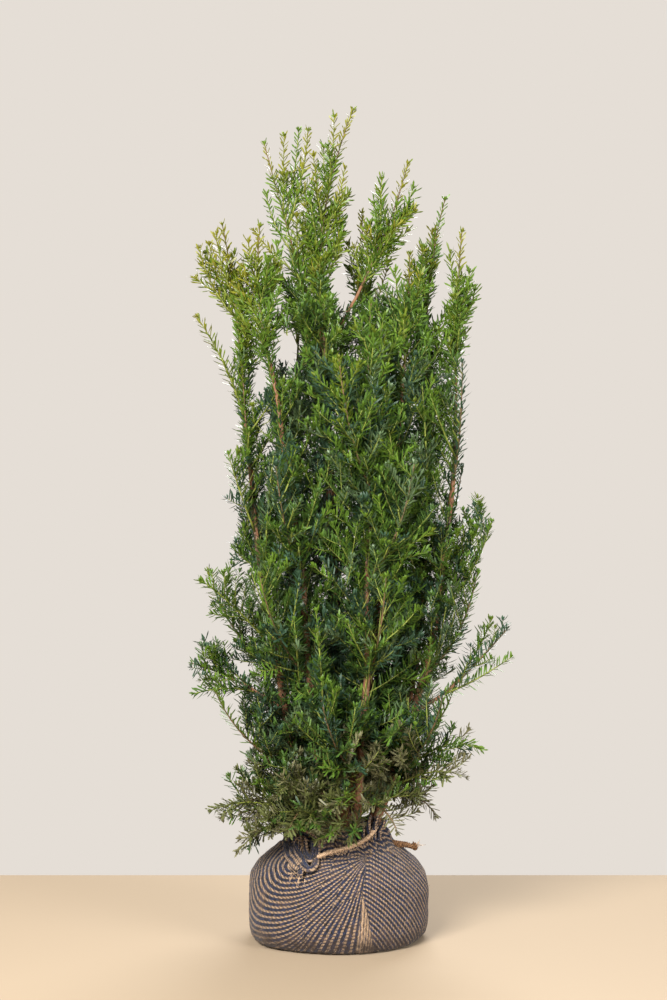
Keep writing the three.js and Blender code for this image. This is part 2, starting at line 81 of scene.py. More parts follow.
SEAM_FRONT = 1.2  # the seam shows up to this bearing off the front


def chance(a, b, c):
    """A number from 0 to 1 that depends only on three whole numbers: their mixed bits as a share of 2^32."""
    word = np.uint64(0xFFFFFFFF)
    a, b, c = (np.asarray(v).astype(np.int64).astype(np.uint64) for v in (a, b, c))
    one = np.uint64(1)
    h = ((a + one) * np.uint64(374761393)) & word
    h = h ^ (((b + one) * np.uint64(668265263)) & word)
    h = h ^ (((c + one) * np.uint64(974634777)) & word)
    h = ((h ^ (h >> np.uint64(13))) * np.uint64(1274126177)) & word
    h = ((h ^ (h >> np.uint64(15))) * np.uint64(2246822519)) & word
    return (h ^ (h >> np.uint64(16))).astype(float) / 4294967296.0


def eased(share):
    """A share from 0 to 1, eased at both ends."""
    return share * share * (3 - 2 * share)


def roughness_of(x, y, seed):
    """Smooth noise from -1 to 1: chance at whole numbers, eased from each to the next in x and y."""
    x, y = np.asarray(x, float) + 4000, np.asarray(y, float) + 4000
    i, j = np.floor(x), np.floor(y)
    u, v = eased(x - i), eased(y - j)
    low = chance(i, j, seed) * (1 - u) + chance(i + 1, j, seed) * u
    high = chance(i, j + 1, seed) * (1 - u) + chance(i + 1, j + 1, seed) * u
    return 2 * (low * (1 - v) + high * v) - 1


def way_along(points):
    """The way from the first of a line of points to each of them."""
    return np.r_[0, np.cumsum(np.linalg.norm(np.diff(points, axis=0), axis=1))]


def smooth_line(points, count, window):
    """Points evenly spaced along a broken line, each averaged with a window of neighbours on both sides, so
    that its corners turn round."""
    points = np.asarray(points, float)
    way = way_along(points)
    even = np.linspace(0, way[-1], count)
    line = np.stack([np.interp(even, way, column) for column in points.T], axis=1)
    before, after = 2 * line[:1] - line[window:0:-1], 2 * line[-1:] - line[-2:-window - 2:-1]
    padded = np.concatenate([before, line, after])
    kernel = np.ones(2 * window + 1) / (2 * window + 1)
    return np.stack([np.convolve(column, kernel, "valid") for column in padded.T], axis=1)


def grid_faces(rows, columns, around):
    """Quads between neighbours of a grid of rows x columns, closed round the columns if around is true."""
    row = np.arange(rows - 1)[:, None] * columns
    column = np.arange(columns if around else columns - 1)[None, :]
    beside = (column + 1) % columns
    faces = np.stack([row + column, row + beside, row + columns + beside, row + columns + column], axis=-1)
    return faces.reshape(-1, 4)


def new_piece(name, points, quads, triangles, material, smooth=True, uv=None):
    """A mesh object at the origin from points in millimetres and arrays of four- and three-cornered faces."""
    quads = np.asarray(quads, np.int32).reshape(-1, 4)
    triangles = np.asarray(triangles, np.int32).reshape(-1, 3)
    points = np.asarray(points, float).reshape(-1, 3)
    mesh = bpy.data.meshes.new(name)
    mesh.vertices.add(len(points))
    mesh.vertices.foreach_set("co", (points * MM).astype(np.float32).ravel())
    corners = np.concatenate([quads.ravel(), triangles.ravel()])
    mesh.loops.add(len(corners))
    mesh.loops.foreach_set("vertex_index", corners)
    sizes = np.r_[np.full(len(quads), 4), np.full(len(triangles), 3)].astype(np.int32)
    mesh.polygons.add(len(sizes))
    mesh.polygons.foreach_set("loop_start", np.r_[0, np.cumsum(sizes)[:-1]].astype(np.int32))
    mesh.polygons.foreach_set("loop_total", sizes)
    mesh.polygons.foreach_set("use_smooth", np.full(len(sizes), smooth))
    mesh.update(calc_edges=True)
    if uv is not None:
        layer = mesh.uv_layers.new(name="rows")
        layer.data.foreach_set("uv", np.asarray(uv, np.float32)[corners].ravel())
    mesh.materials.append(material)
    piece = bpy.data.objects.new(name, mesh)
    bpy.context.collection.objects.link(piece)
    return piece


def closing_fan(ring, centre, outward_last):
    """Triangles from a ring of corners to one centre corner, turned over where the ring ends a grid."""
    beside = np.roll(ring, -1)
    middle = np.full(len(ring), centre)
    return np.stack([ring, beside, middle] if outward_last else [beside, ring, middle], axis=1)


def closed_grid(name, grid, uv, material, middles):
    """A piece from a grid that closes round its columns. A fan to a middle point closes its last ring, and
    where two middles are given, another closes the first ring."""
    rows, columns = grid.shape[:2]
    count = rows * columns
    first, last = np.arange(columns), np.arange(columns) + (rows - 1) * columns
    fans = [closing_fan(last, count + len(middles) - 1, True)]
    if len(middles) > 1:
        fans.insert(0, closing_fan(first, count, False))
    points = np.concatenate([grid.reshape(-1, 3), middles])
    uv = uv.reshape(-1, 2)
    uv = np.concatenate([uv, uv[:len(middles)]])
    return new_piece(name, points, grid_faces(rows, columns, True), np.concatenate(fans), material, True, uv)


def stands_in(piece, slot, *nodes):
    """Says which solids a piece replaces, if any, and that it rides on the root body. The slot is not used.
    """
    if nodes:
        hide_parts(*nodes)
    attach(piece, "root")


def gathered(share):
    """How far rows have come towards the gather: eased up to ROW_EASE of the way across, then evenly."""
    come = np.where(share < ROW_EASE, share * share / (2 * ROW_EASE), share - ROW_EASE / 2)
    return come / (1 - ROW_EASE / 2)


def share_gathered(part):
    """The share of the way across at which rows have come a part of the way to the gather."""
    come = part * (1 - ROW_EASE / 2)
    return np.where(come < ROW_EASE / 2, np.sqrt(2 * ROW_EASE * come), come + ROW_EASE / 2)


def left_rows(across, up):
    """Row number left of the seam: rows run from the shoulder's line to the gather, and past that line round
    the shoulder. Rows that would start below LOWEST_ROW are numbered by where they leave the foot."""
    leaning = np.clip((up - 15) / 85, 0, 1) * np.clip((30 - across) / 90, 0, 1)
    across = across - SHOULDER_LEAN * leaning
    run = GATHER[0] - SHOULDER[0]
    part = gathered(np.clip((across - SHOULDER[0]) / run, 0, 0.97))
    crossing = (up - GATHER[1] * part) / (1 - part)
    low, high = np.minimum(crossing, LOWEST_ROW), np.maximum(crossing, LOWEST_ROW)
    foot, first_foot = (share_gathered((FOOT - h) / (GATHER[1] - h)) for h in (low, LOWEST_ROW))
    row = np.abs(SHOULDER[1] - high) / ROW_PITCH + (foot - first_foot) * run / FOOT_PITCH
    round_shoulder = np.hypot(SHOULDER[0] - across, SHOULDER[1] - up) / ROW_PITCH
    return np.where(across < SHOULDER[0], round_shoulder, row)


def cloth_rows(across, up):
    """Row number and stitch number of each point of the ball's cloth, from its place on the leaning plane.

    Left of the seam a row runs from height h on the shoulder's line to the gather, at the height
    h (1 - g) + gather g, with g from gathered(). Where the rows run too close, every other one ends. Right of
    the seam they are arcs round a centre far below. A plain gusset stands right of the seam's foot.
    """
    row = left_rows(across, up)
    step = 0.5
    steep = np.hypot(left_rows(across + step, up) - row, left_rows(across, up + step) - row) / step
    beyond_shoulder = across > SHOULDER[0] + 40
    for closer in (1, 2):
        row = np.where((steep > closer / LEAST_PITCH) & beyond_shoulder, row / 2, row)
    stitch = np.hypot(GATHER[0] - across, GATHER[1] - up) / STITCH
    left, below = SHOULDER[0] - across, SHOULDER[1] - up
    turned = np.hypot(left, below)
    run = GATHER[0] - SHOULDER[0]
    arc_stitch = (np.hypot(run, GATHER[1] - SHOULDER[1] + turned) + np.arctan2(left, below) * turned) / STITCH
    stitch = np.where(across < SHOULDER[0], arc_stitch, stitch)
    past_seam = across - seam_place(up)
    right, high = across - RIGHT_CENTRE[0], up - RIGHT_CENTRE[1]
    row = np.where(past_seam > 0, np.hypot(right, high) / RIGHT_PITCH + 0.4, row)
    stitch = np.where(past_seam > 0, np.arctan2(right, high) * np.hypot(right, high) / STITCH, stitch)
    gusset = (past_seam > 0) & (past_seam < GUSSET[0] * (1 - up / GUSSET[1]))
    return np.where(gusset, 0.5 + 0.2 * np.sin(across * 2.2 + up / 4), row), stitch


def seam_place(up):
    """How far right of the front the seam lies at a height on the leaning plane, with a soft wave."""
    return np.interp(up, SEAM[:, 0], SEAM[:, 1]) + 0.9 * np.sin(up / 13)


def leaning_places(turn, radius, height):
    """Places of the ball's cloth on the leaning plane: the radius times the sine of the bearing, carried on
    evenly past EVEN_FROM, and the height less the depth times the lean."""
    beyond = np.maximum(np.abs(turn) - EVEN_FROM, 0)
    bent = np.sin(np.minimum(np.abs(turn), EVEN_FROM)) + math.cos(EVEN_FROM) * beyond
    return radius * bent * np.sign(turn), height - ROW_LEAN * radius * np.cos(turn)


def ball_bearings():
    """Bearings of the ball's columns, closer together at the front, where the stripes are finest."""
    even = np.arange(BALL_COLUMNS) / BALL_COLUMNS * 2 * math.pi
    return FRONT + math.pi + even + 0.34 * np.sin(even)


def ball_profile():
    """The ball's outline as columns of stations: radius, height, how far a push off the cloth goes outwards
    and upwards, and the way up from the foot. The stations stand closer above the foot than under it."""
    outline = smooth_line(BALL_OUTLINE, 1600, 26)
    way = way_along(outline)
    rim = way[np.argmax(outline[:, 0] > FOOT_RADIUS)]
    under = np.linspace(0, rim, UNDER_ROWS + 1)[:-1]
    way_there = np.r_[under, np.linspace(rim, way[-1], BALL_ROWS - UNDER_ROWS)]
    radius, height = (np.interp(way_there, way, column) for column in outline.T)
    outward, upward = np.gradient(height, way_there), -np.gradient(radius, way_there)
    return [column[:, None] for column in (radius, height, outward, upward, way_there - rim)]


def ball_swelling(bearing, turn, radius, height):
    """By what factor the ball is wider than its outline: lumps and a full left shoulder that die out at the
    foot and the neck, as on the solid, and the pushed-out foot at the front left."""
    free = np.sin(math.pi * np.clip(height / (BALL_TOP - 4), 0, 1))
    shoulder = SHOULDER_SWELL * np.maximum(0, -np.cos(bearing)) * eased(np.clip((height - 70) / 60, 0, 1))
    lumps = 0.014 * np.cos(2 * bearing + 0.6) + 0.01 * np.cos(5 * bearing + 1.1)
    middle, width, swell = FRONT_FOOT
    low = np.clip(1.2 - height / 70, 0, 1) * (radius > 60)
    return 1 + free * (lumps + shoulder) + swell * np.exp(-((turn - middle) / width) ** 2) * low


def cloth_relief(turn, up, past_seam, row):
    """How far the cloth stands off the outline: a rounded ridge for every yarn, dents, the sunk seam with a
    lip to its right, and pleats towards the neck. It lies flat underneath."""
    across = turn * CLOTH_GIRTH
    broad, small = DENTS
    dents = broad * roughness_of(across / 30, up / 30, 1) + small * roughness_of(across / 12, up / 12, 2)
    in_front = np.abs(turn) < SEAM_FRONT
    seam = np.exp(-(past_seam / 3) ** 2) * in_front
    lip = np.exp(-((past_seam - 7) / 5) ** 2) * in_front
    pleats = PLEAT_DEPTH * np.clip((up - 140) / 45, 0, 1) * roughness_of(across / 7, up / 60, 3)
    yarn = np.abs(np.sin(2 * math.pi * row))
    relief = YARN_RELIEF * yarn + dents - SEAM_DEPTH * seam + SEAM_LIP * lip + pleats
    return relief * np.clip(up / 12, 0, 1)


def ball_grid():
    """Points, and row and stitch numbers, of the ball's cloth: its outline turned round the upright axis,
    swelled, and pushed off by the cloth's relief."""
    radius, height, outward, upward, up = ball_profile()
    bearing = ball_bearings()[None, :]
    turn = np.mod(bearing - FRONT + math.pi, 2 * math.pi) - math.pi
    flat_across, flat_up = leaning_places(turn, radius, height)
    row, stitch = cloth_rows(flat_across, flat_up)
    relief = cloth_relief(turn, up, flat_across - seam_place(flat_up), row)
    out = radius * ball_swelling(bearing, turn, radius, height) + outward * relief
    points = np.stack([out * np.cos(bearing), out * np.sin(bearing), height + upward * relief], axis=-1)
    return points, np.stack([row, stitch], axis=-1)


def to_linear(colour):
    """A colour of 0 to 255 sRGB values as the linear values that a shader takes."""
    c = np.array(colour, float) / 255
    linear = np.where(c <= 0.04045, c / 12.92, ((c + 0.055) / 1.055) ** 2.4)
    return (*linear, 1.0)


def new_material(name, roughness, specular):
    """A material with a Principled BSDF whose plain values sit on its own sockets."""
    material = bpy.data.materials.new(name)
    material.use_nodes = True
    shader = material.node_tree.nodes["Principled BSDF"]
    shader.inputs["Roughness"].default_value = roughness
    shader.inputs["Specular IOR Level"].default_value = specular
    return material, material.node_tree, shader


def feed(tree, value, socket):
    """Gives a socket a number or colour of its own, or links it to the socket that feeds it."""
    if isinstance(value, bpy.types.NodeSocket):
        tree.links.new(value, socket)
    else:
        socket.default_value = value


def new_effect(name, inputs, outputs):
    """A node group for an effect that more than one material uses, with what it takes and what it gives."""
    group = bpy.data.node_groups.new(name, "ShaderNodeTree")
    for side, sockets in (("INPUT", inputs), ("OUTPUT", outputs)):
        for socket, kind in sockets.items():
            group.interface.new_socket(socket, in_out=side, socket_type="NodeSocket" + kind)
    return group, group.nodes.new("NodeGroupInput").outputs, group.nodes.new("NodeGroupOutput").inputs


def placed_effect(tree, group, values):
    """The outputs of a group that is placed in a material with its own values."""
    node = tree.nodes.new("ShaderNodeGroup")
    node.node_tree = group
    for socket, value in values.items():
        node.inputs[socket].default_value = value
    return node.outputs


def math_node(tree, operation, first, second=0.0, third=0.0):
    """One Math node; each of its values is a number or the socket that feeds it."""
    node = tree.nodes.new("ShaderNodeMath")
    node.operation = operation
    for socket, value in zip(node.inputs, (first, second, third)):
        feed(tree, value, socket)
    return node.outputs[0]


def eased_step(tree, value, low, high):
    """From 1 where the value is under low to 0 where it is over high, eased between them."""
    node = tree.nodes.new("ShaderNodeMapRange")
    node.interpolation_type = "SMOOTHSTEP"
    tree.links.new(value, node.inputs["Value"])
    feed(tree, low, node.inputs["From Min"])
    feed(tree, high, node.inputs["From Max"])
    node.inputs["To Min"].default_value = 1.0
    node.inputs["To Max"].default_value = 0.0
    return node.outputs["Result"]


def mixed(tree, share, first, second):
    """Two colours mixed; each is a tuple or a socket, and share feeds the factor."""
    node = tree.nodes.new("ShaderNodeMix")
    node.data_type = "RGBA"
    feed(tree, share, node.inputs["Factor"])
    feed(tree, first, node.inputs["A"])
    feed(tree, second, node.inputs["B"])
    return node.outputs["Result"]


def noise_on(tree, scale, detail, stretch=None):
    """Noise over the piece's own coordinates in metres, stretched by a Mapping node where wanted."""
    place = tree.nodes.new("ShaderNodeTexCoord").outputs["Object"]
    if stretch:
        mapping = tree.nodes.new("ShaderNodeMapping")
        feed(tree, stretch, mapping.inputs["Scale"])
        tree.links.new(place, mapping.inputs["Vector"])
        place = mapping.outputs["Vector"]
    noise = tree.nodes.new("ShaderNodeTexNoise")
    feed(tree, scale, noise.inputs["Scale"])
    noise.inputs["Detail"].default_value = detail
    tree.links.new(place, noise.inputs["Vector"])
    return noise.outputs["Fac"]


def bumped(tree, shader, height, strength, distance):
    """A Bump node that turns the height into the shader's normal."""
    bump = tree.nodes.new("ShaderNodeBump")
    bump.inputs["Strength"].default_value = strength
    bump.inputs["Distance"].default_value = distance
    tree.links.new(height, bump.inputs["Height"])
    tree.links.new(bump.outputs["Normal"], shader.inputs["Normal"])


CLOTH_BLUE = to_linear((34, 40, 62))
CLOTH_CHARCOAL = to_linear((24, 22, 26))
CLOTH_TAN = to_linear((168, 142, 114))
CLOTH_BROWN = to_linear((112, 88, 66))
SOIL_STAIN = to_linear((42, 29, 19))
STAIN_FULL = 0.022  # the soil is rubbed in fully up to this height, in metres
BALL_STAIN = 0.056  # and fades out at this one
DUST_SHARE = 0.22


def yarn_rows(tree):
    """The share of tan yarn: the middle of every row, ragged at its edges, broken into slanting stitches by
    the stitch number."""
    uv = tree.nodes.new("ShaderNodeUVMap")
    uv.uv_map = "rows"
    split = tree.nodes.new("ShaderNodeSeparateXYZ")
    tree.links.new(uv.outputs["UV"], split.inputs["Vector"])
    ragged = math_node(tree, "MULTIPLY_ADD", noise_on(tree, 420, 4), 0.34, -0.17)
    part = math_node(tree, "FRACT", math_node(tree, "ADD", split.outputs["X"], ragged))
    from_tan = math_node(tree, "ABSOLUTE", math_node(tree, "SUBTRACT", part, 0.5))
    tan = eased_step(tree, from_tan, 0.16, 0.25)
    slanted = math_node(tree, "FRACT", math_node(tree, "MULTIPLY_ADD", part, 0.8, split.outputs["Y"]))
    dash = math_node(tree, "ABSOLUTE", math_node(tree, "SUBTRACT", slanted, 0.5))
    dashes = math_node(tree, "MULTIPLY_ADD", eased_step(tree, dash, 0.26, 0.42), 0.85, 0.15)
    return math_node(tree, "MULTIPLY", tan, dashes)


def soil_share(tree, fades_out):
    """How much soil is rubbed in: all of it near the floor, less up to a height, in patches."""
    height = tree.nodes.new("ShaderNodeSeparateXYZ")
    tree.links.new(tree.nodes.new("ShaderNodeTexCoord").outputs["Object"], height.inputs["Vector"])
    low = math_node(tree, "MULTIPLY_ADD", noise_on(tree, 30, 4), 0.03, height.outputs["Z"])
    patches = eased_step(tree, noise_on(tree, 110, 4), 0.4, 0.62)
    rubbed = math_node(tree, "MULTIPLY_ADD", patches, 0.42, 0.5)
    return math_node(tree, "MULTIPLY", eased_step(tree, low, STAIN_FULL, fades_out), rubbed)


def knitted_effect():
    """The knitting: tan stitches between dark ones, specked, with soil rubbed in near the floor and dust."""
    gives = {"Colour": "Color", "Yarn": "Float"}
    tree, taken, given = new_effect("knitted_rows", {"Stain Height": "Float"}, gives)
    weave = yarn_rows(tree)
    speck = noise_on(tree, 900, 2)
    dark = mixed(tree, eased_step(tree, noise_on(tree, 260, 3), 0.42, 0.6), CLOTH_CHARCOAL, CLOTH_BLUE)
    light = mixed(tree, eased_step(tree, speck, 0.36, 0.62), CLOTH_TAN, CLOTH_BROWN)
    colour = mixed(tree, weave, dark, light)
    colour = mixed(tree, soil_share(tree, taken["Stain Height"]), colour, SOIL_STAIN)
    dust = eased_step(tree, noise_on(tree, 45, 5), 0.28, 0.5)
    colour = mixed(tree, math_node(tree, "MULTIPLY", dust, DUST_SHARE), colour, CLOTH_BROWN)
    tree.links.new(colour, given["Colour"])
    fine = math_node(tree, "MULTIPLY_ADD", weave, 0.8, math_node(tree, "MULTIPLY", speck, 0.7))
    tree.links.new(fine, given["Yarn"])
    return tree


knitting = knitted_effect()


def striped_cloth(name, stain_height):
    """Knitted cloth, stained with soil up to a height in metres."""
    material, tree, shader = new_material(name, 0.92, 0.2)
    shader.inputs["Sheen Weight"].default_value = 0.1
    shader.inputs["Sheen Roughness"].default_value = 0.6
    knit = placed_effect(tree, knitting, {"Stain Height": stain_height})
    tree.links.new(knit["Colour"], shader.inputs["Base Color"])
    bumped(tree, shader, knit["Yarn"], 0.8, 0.0014)
    return material


ball_points, ball_uv = ball_grid()
ball_middles = [[0, 0, 0.6], [0, 0, BALL_TOP - 1]]
ball = closed_grid("ball_cloth", ball_points, ball_uv, striped_cloth("ball_cloth", BALL_STAIN), ball_middles)
stands_in(ball, "cloth", "root_ball")

# The gathered neck. Above the ball the cloth is pulled in round the stems and stands up in pleats, which
# fold back on themselves. It is highest at the front right, where the corners were bunched.
NECK_COLUMNS = 420
# The neck's outline from the ball up to its lip and down inside: radius and height
NECK_PROFILE = [
    (98, 150), (92, 156), (89, 166), (86, 177), (79, 186), (71, 178), (65, 164), (58, 153), (20, 151),
]
NECK_FOOT = 152.0
PLEAT, CREASE = 5.0, 2.6  # how far the broad pleats and the small creases wave it in and out
NECK_PEAK = (math.radians(-52), 0.26)  # the bearing of its highest place, and how broad that is
NECK_PULL = (-0.3, 0.75, 13.0)  # where the corner pulls it in: the bearing, how broad and how far
NECK_STAIN = 0.03


def bell_round(bearing, middle, width):
    """One at a bearing, and less on both sides of it by a bell curve."""
    return np.exp(-(((bearing - middle + math.pi) % (2 * math.pi) - math.pi) / width) ** 2)


def neck_grid():
    """The neck's profile carried round the stems; pleats wave its radius and height more towards its lip, and
    it draws in as it rises on the right, where the corner was pulled."""
    profile = smooth_line(NECK_PROFILE, 70, 3)
    bearing = np.linspace(0, 2 * math.pi, NECK_COLUMNS, endpoint=False)[None, :]
    radius, height = (column[:, None] for column in profile.T)
    x, y = np.cos(bearing), np.sin(bearing)
    rise = np.clip((height - NECK_FOOT) / 26, 0, 1)
    peak = bell_round(bearing, *NECK_PEAK)
    pull_bearing, pull_width, pulled = NECK_PULL
    right = bell_round(bearing, pull_bearing, pull_width)
    pleat = roughness_of(x * 9, y * 9, 12)
    crease = roughness_of(x * 22, y * 22, 13)
    bend = roughness_of(x * 5, y * 5 + height / 9, 14) * 2.2
    out = radius + rise * (PLEAT * pleat + CREASE * crease) - 4 * rise * peak - pulled * rise * right
    out = out + bend * rise
    z = NECK_FOOT + (height - NECK_FOOT) * (1 + 0.2 * pleat + 0.3 * peak) + 1.5 * crease * rise
    row = (way_along(profile)[:, None] + 8 * pleat) / ROW_PITCH
    stitch = bearing * 80 / STITCH + 0 * radius
    return np.stack([out * x, out * y, z], axis=-1), np.stack([row, stitch], axis=-1)


neck_points, neck_uv = neck_grid()
neck_cloth = striped_cloth("neck_cloth", NECK_STAIN)
neck = closed_grid("neck_cloth", neck_points, neck_uv, neck_cloth, [[0, 0, BALL_TOP - 1]])
stands_in(neck, "cloth", "cloth_neck")

# The knot and the tail. Two corners of the cloth are tied in a knot on the front of the left shoulder, and
# another is twisted into a short tail at the right. Both end in frayed yarn.
NECK_FRONT = 88.0  # how far in front the neck's cloth stands
# Each strand of the knot: where it runs, as places right of the middle, up, and off the ball, and its radius
KNOT_STRANDS = {
    "knot_right_outer": ([(-60, 172, 3), (-59, 152, 9), (-54, 137, 13), (-46, 132, 14), (-38, 138, 13),
                          (-34, 154, 10), (-34, 172, 3)], 5.0),
    "knot_right_inner": ([(-53, 174, 4), (-52, 154, 11), (-46, 144, 14), (-41, 153, 12), (-42, 172, 4)], 4.2),
    "knot_left_outer": ([(-86, 178, 1), (-85, 159, 5), (-79, 144, 9), (-69, 134, 12), (-59, 130, 13)], 5.4),
    "knot_left_middle": ([(-80, 181, 2), (-77, 162, 8), (-71, 148, 13), (-61, 137, 15)], 5.0),
    "knot_left_inner": ([(-72, 182, 3), (-70, 165, 10), (-65, 151, 15), (-58, 141, 16)], 4.6),
    "knot_fold": ([(-84, 158, 1), (-82, 173, 1), (-75, 184, 1), (-62, 188, 2), (-48, 184, 2),
                   (-33, 174, 1)], 6.0),
    "knot_end": ([(-60, 138, 15), (-62, 128, 14), (-61, 119, 11)], 3.4),
    "knot_end_two": ([(-57, 136, 15), (-60, 127, 15), (-64, 121, 12)], 3.0),
}
# The bunched corner at the right of the neck: where each fold starts and where it ends
BUNCH_FOLDS = [
    ((36, -84, 172), (40, -84, 206)), ((45, -80, 172), (52, -82, 213)), ((55, -73, 172), (63, -76, 211)),
    ((64, -64, 172), (74, -68, 203)), ((50, -68, 174), (58, -66, 208)),
]
FOLD_SWAY = np.array([1, 0.4, 0]) * 1.6
FOLD_RINGS = 50
TAIL_PATH = [(86, -14, 153), (100, -18, 153), (112, -20, 153), (122, -19, 150), (129, -17, 152)]
TAIL_TAN = to_linear((150, 112, 78))
TAIL_SHADE = to_linear((88, 66, 50))


def smooth_path(points, count):
    """A path through a few points, rounded at its corners."""
    return smooth_line(points, count, max(2, count // 24))


def unit(ways):
    """Ways of length one."""
    return ways / np.linalg.norm(ways, axis=-1, keepdims=True)


def tube_grid(path, radii, sides, turns=0.0, flat=1.0, lobes=0.0, lobe_count=3):
    """A section carried along a path. Each ring stands square to it, turns by a share of the way, is
    flattened by a factor, and swells in a number of lobes, as twisted cloth does."""
    tangent = unit(np.gradient(path, axis=0))
    up = np.where(np.abs(tangent[:, 2:3]) > 0.95, [[1.0, 0, 0]], [[0, 0, 1.0]])
    across = unit(np.cross(tangent, up))
    deep = np.cross(across, tangent)
    way = np.linspace(0, 1, len(path))[:, None]
    turn = np.linspace(0, 2 * math.pi, sides, endpoint=False)[None, :] + 2 * math.pi * turns * way
    swell = radii[:, None] * (1 + lobes * np.cos(lobe_count * (turn - 4 * math.pi * turns * way)))
    x, y = swell * np.cos(turn), swell * np.sin(turn) * flat
    return path[:, None] + x[..., None] * across[:, None] + y[..., None] * deep[:, None]


def closed_tube(name, grid, material):
    """A piece from a tube's grid, closed at both ends. The cloth's pattern has two rows round the tube."""
    row = 2 * np.arange(grid.shape[1])[None, :] / grid.shape[1]
    stitch = way_along(grid[:, 0])[:, None] / STITCH
    uv = np.stack(np.broadcast_arrays(row, stitch), axis=-1)
    return closed_grid(name, grid, uv, material, [grid[0].mean(axis=0), grid[-1].mean(axis=0)])


def on_ball(places):
    """Places right of the middle, up, and off the ball as points just in front of it: the ball's outline, or
    the neck above it, gives how far in front each lies."""
    x, z, off = np.array(places, float).T
    edge = BALL_OUTLINE[BALL_OUTLINE[:, 1] > 10]
    radius = np.interp(z, np.r_[edge[:, 1], 168], np.r_[edge[:, 0], NECK_FRONT])
    return np.stack([x, -np.sqrt(np.maximum(radius ** 2 - x ** 2, 100)) - off, z], axis=1)


def streaked_effect():
    """Streaks of two shades: stretched noise, eased from one shade to the other."""
    takes = {"Light": "Color", "Shade": "Color", "Scale": "Float", "Stretch": "Vector"}
    tree, taken, given = new_effect("streaks", takes, {"Colour": "Color", "Streak": "Float"})
    streak = noise_on(tree, taken["Scale"], 4, taken["Stretch"])
    share = eased_step(tree, streak, 0.4, 0.6)
    tree.links.new(mixed(tree, share, taken["Light"], taken["Shade"]), given["Colour"])
    tree.links.new(streak, given["Streak"])
    return tree


streaks = streaked_effect()


def streaked_material(name, roughness, specular, streaked, strength, distance):
    """A material of two shades in streaks, which stand out a little too."""
    material, tree, shader = new_material(name, roughness, specular)
    effect = placed_effect(tree, streaks, streaked)
    tree.links.new(effect["Colour"], shader.inputs["Base Color"])
    bumped(tree, shader, effect["Streak"], strength, distance)
    return material


def plain_yarn(name, light, shade, scale):
    """Loose hairy yarn: two shades of one colour, stretched along the strand."""
    streaked = {"Light": light, "Shade": shade, "Scale": scale, "Stretch": (1, 1, 2.5)}
    return streaked_material(name, 0.95, 0.15, streaked, 0.6, 0.0008)


for name, (path, radius) in KNOT_STRANDS.items():
    line = smooth_path(on_ball(path), 90)
    way = np.linspace(0, 1, len(line))
    ripple = 1 + 0.12 * roughness_of(way * 14, 0 * way, len(name))
    radii = radius * (0.8 + 0.35 * np.sin(math.pi * way)) * ripple
    grid = tube_grid(line, radii, 28, turns=0.4, flat=0.75, lobes=0.12, lobe_count=4)
    stands_in(closed_tube(name, grid, neck_cloth), "cloth", "front_knot")

for number, (foot, top) in enumerate(BUNCH_FOLDS):
    wave = np.sin(np.linspace(0, 5, FOLD_RINGS) + number)[:, None]
    line = np.linspace(foot, top, FOLD_RINGS) + FOLD_SWAY * wave
    way = np.linspace(0, 1, FOLD_RINGS)
    radii = (6.4 - 1.4 * way) * (1 - 0.9 * np.clip((way - 0.9) / 0.1, 0, 1) ** 2)
    radii *= 1 + 0.1 * roughness_of(way * 9, 0 * way, 60 + number)
    grid = tube_grid(line, radii, 30, turns=0.25, flat=0.55, lobes=0.2, lobe_count=5)
    stands_in(closed_tube(f"bunch_fold_{number + 1}", grid, neck_cloth), "cloth", "cloth_neck")

tail_line = smooth_path(TAIL_PATH, 80)
way = np.linspace(0, 1, len(tail_line))
knob = 4.2 * np.exp(-((way - 0.9) / 0.07) ** 2)
tail_radii = 7.5 - 4.0 * way + knob - 2.5 * np.clip((way - 0.96) / 0.04, 0, 1)
tail_grid = tube_grid(tail_line, tail_radii, 24, turns=2.2, flat=0.85, lobes=0.2, lobe_count=3)
tail_yarn = plain_yarn("tail_yarn", TAIL_TAN, TAIL_SHADE, 260)
stands_in(closed_tube("side_tail_twist", tail_grid, tail_yarn), "cloth", "side_tail")

# The hem: the cloth's rolled and overcast edge, in tan yarn. It runs from the knot up to the bunched corner,
# and its overcast stitches stand out as a row of slanting ridges.
HEM_PATH = [
    (-34, -113, 151), (-24, -113, 155), (-8, -111, 160), (12, -106, 164), (32, -97, 170), (48, -86, 178),
    (58, -74, 188),
]
HEM_TAN = to_linear((220, 190, 156))
HEM_SHADE = to_linear((136, 110, 88))
HEM_STITCHES = 30

hem_yarn = plain_yarn("hem_yarn", HEM_TAN, HEM_SHADE, 500)
hem_line = smooth_path(HEM_PATH, 260)
hem_way = np.linspace(0, 1, len(hem_line))
ridges = 0.6 * np.abs(np.sin(hem_way * math.pi * HEM_STITCHES))
hem_radii = 3.7 + ridges + 0.4 * roughness_of(hem_way * 26, 0 * hem_way, 5)
hem_grid = tube_grid(hem_line, hem_radii, 12, turns=17, flat=0.8, lobes=0.12, lobe_count=2)
stands_in(closed_tube("hem", hem_grid, hem_yarn), "cloth")

# Loose yarn. The cloth is frayed where it was cut, at the knot and the hem, and hairs of it stand off the
# ball everywhere. Each strand is a thin curved thread.
KNOT_ENDS, HEM_ENDS, TAIL_ENDS = 90, 220, 8
BALL_HAIRS = 1500
THREAD_RADIUS = 0.55
HAIR_RADIUS = 0.13


def many(count, points, quads, triangles):
    """The faces of one thing, repeated for a number of things that have so many points each."""
    jump = (np.arange(count) * points)[:, None, None]
    quads, triangles = (np.asarray(faces, int).reshape(-1, k) for faces, k in ((quads, 4), (triangles, 3)))
    return (quads[None] + jump).reshape(-1, 4), (triangles[None] + jump).reshape(-1, 3)


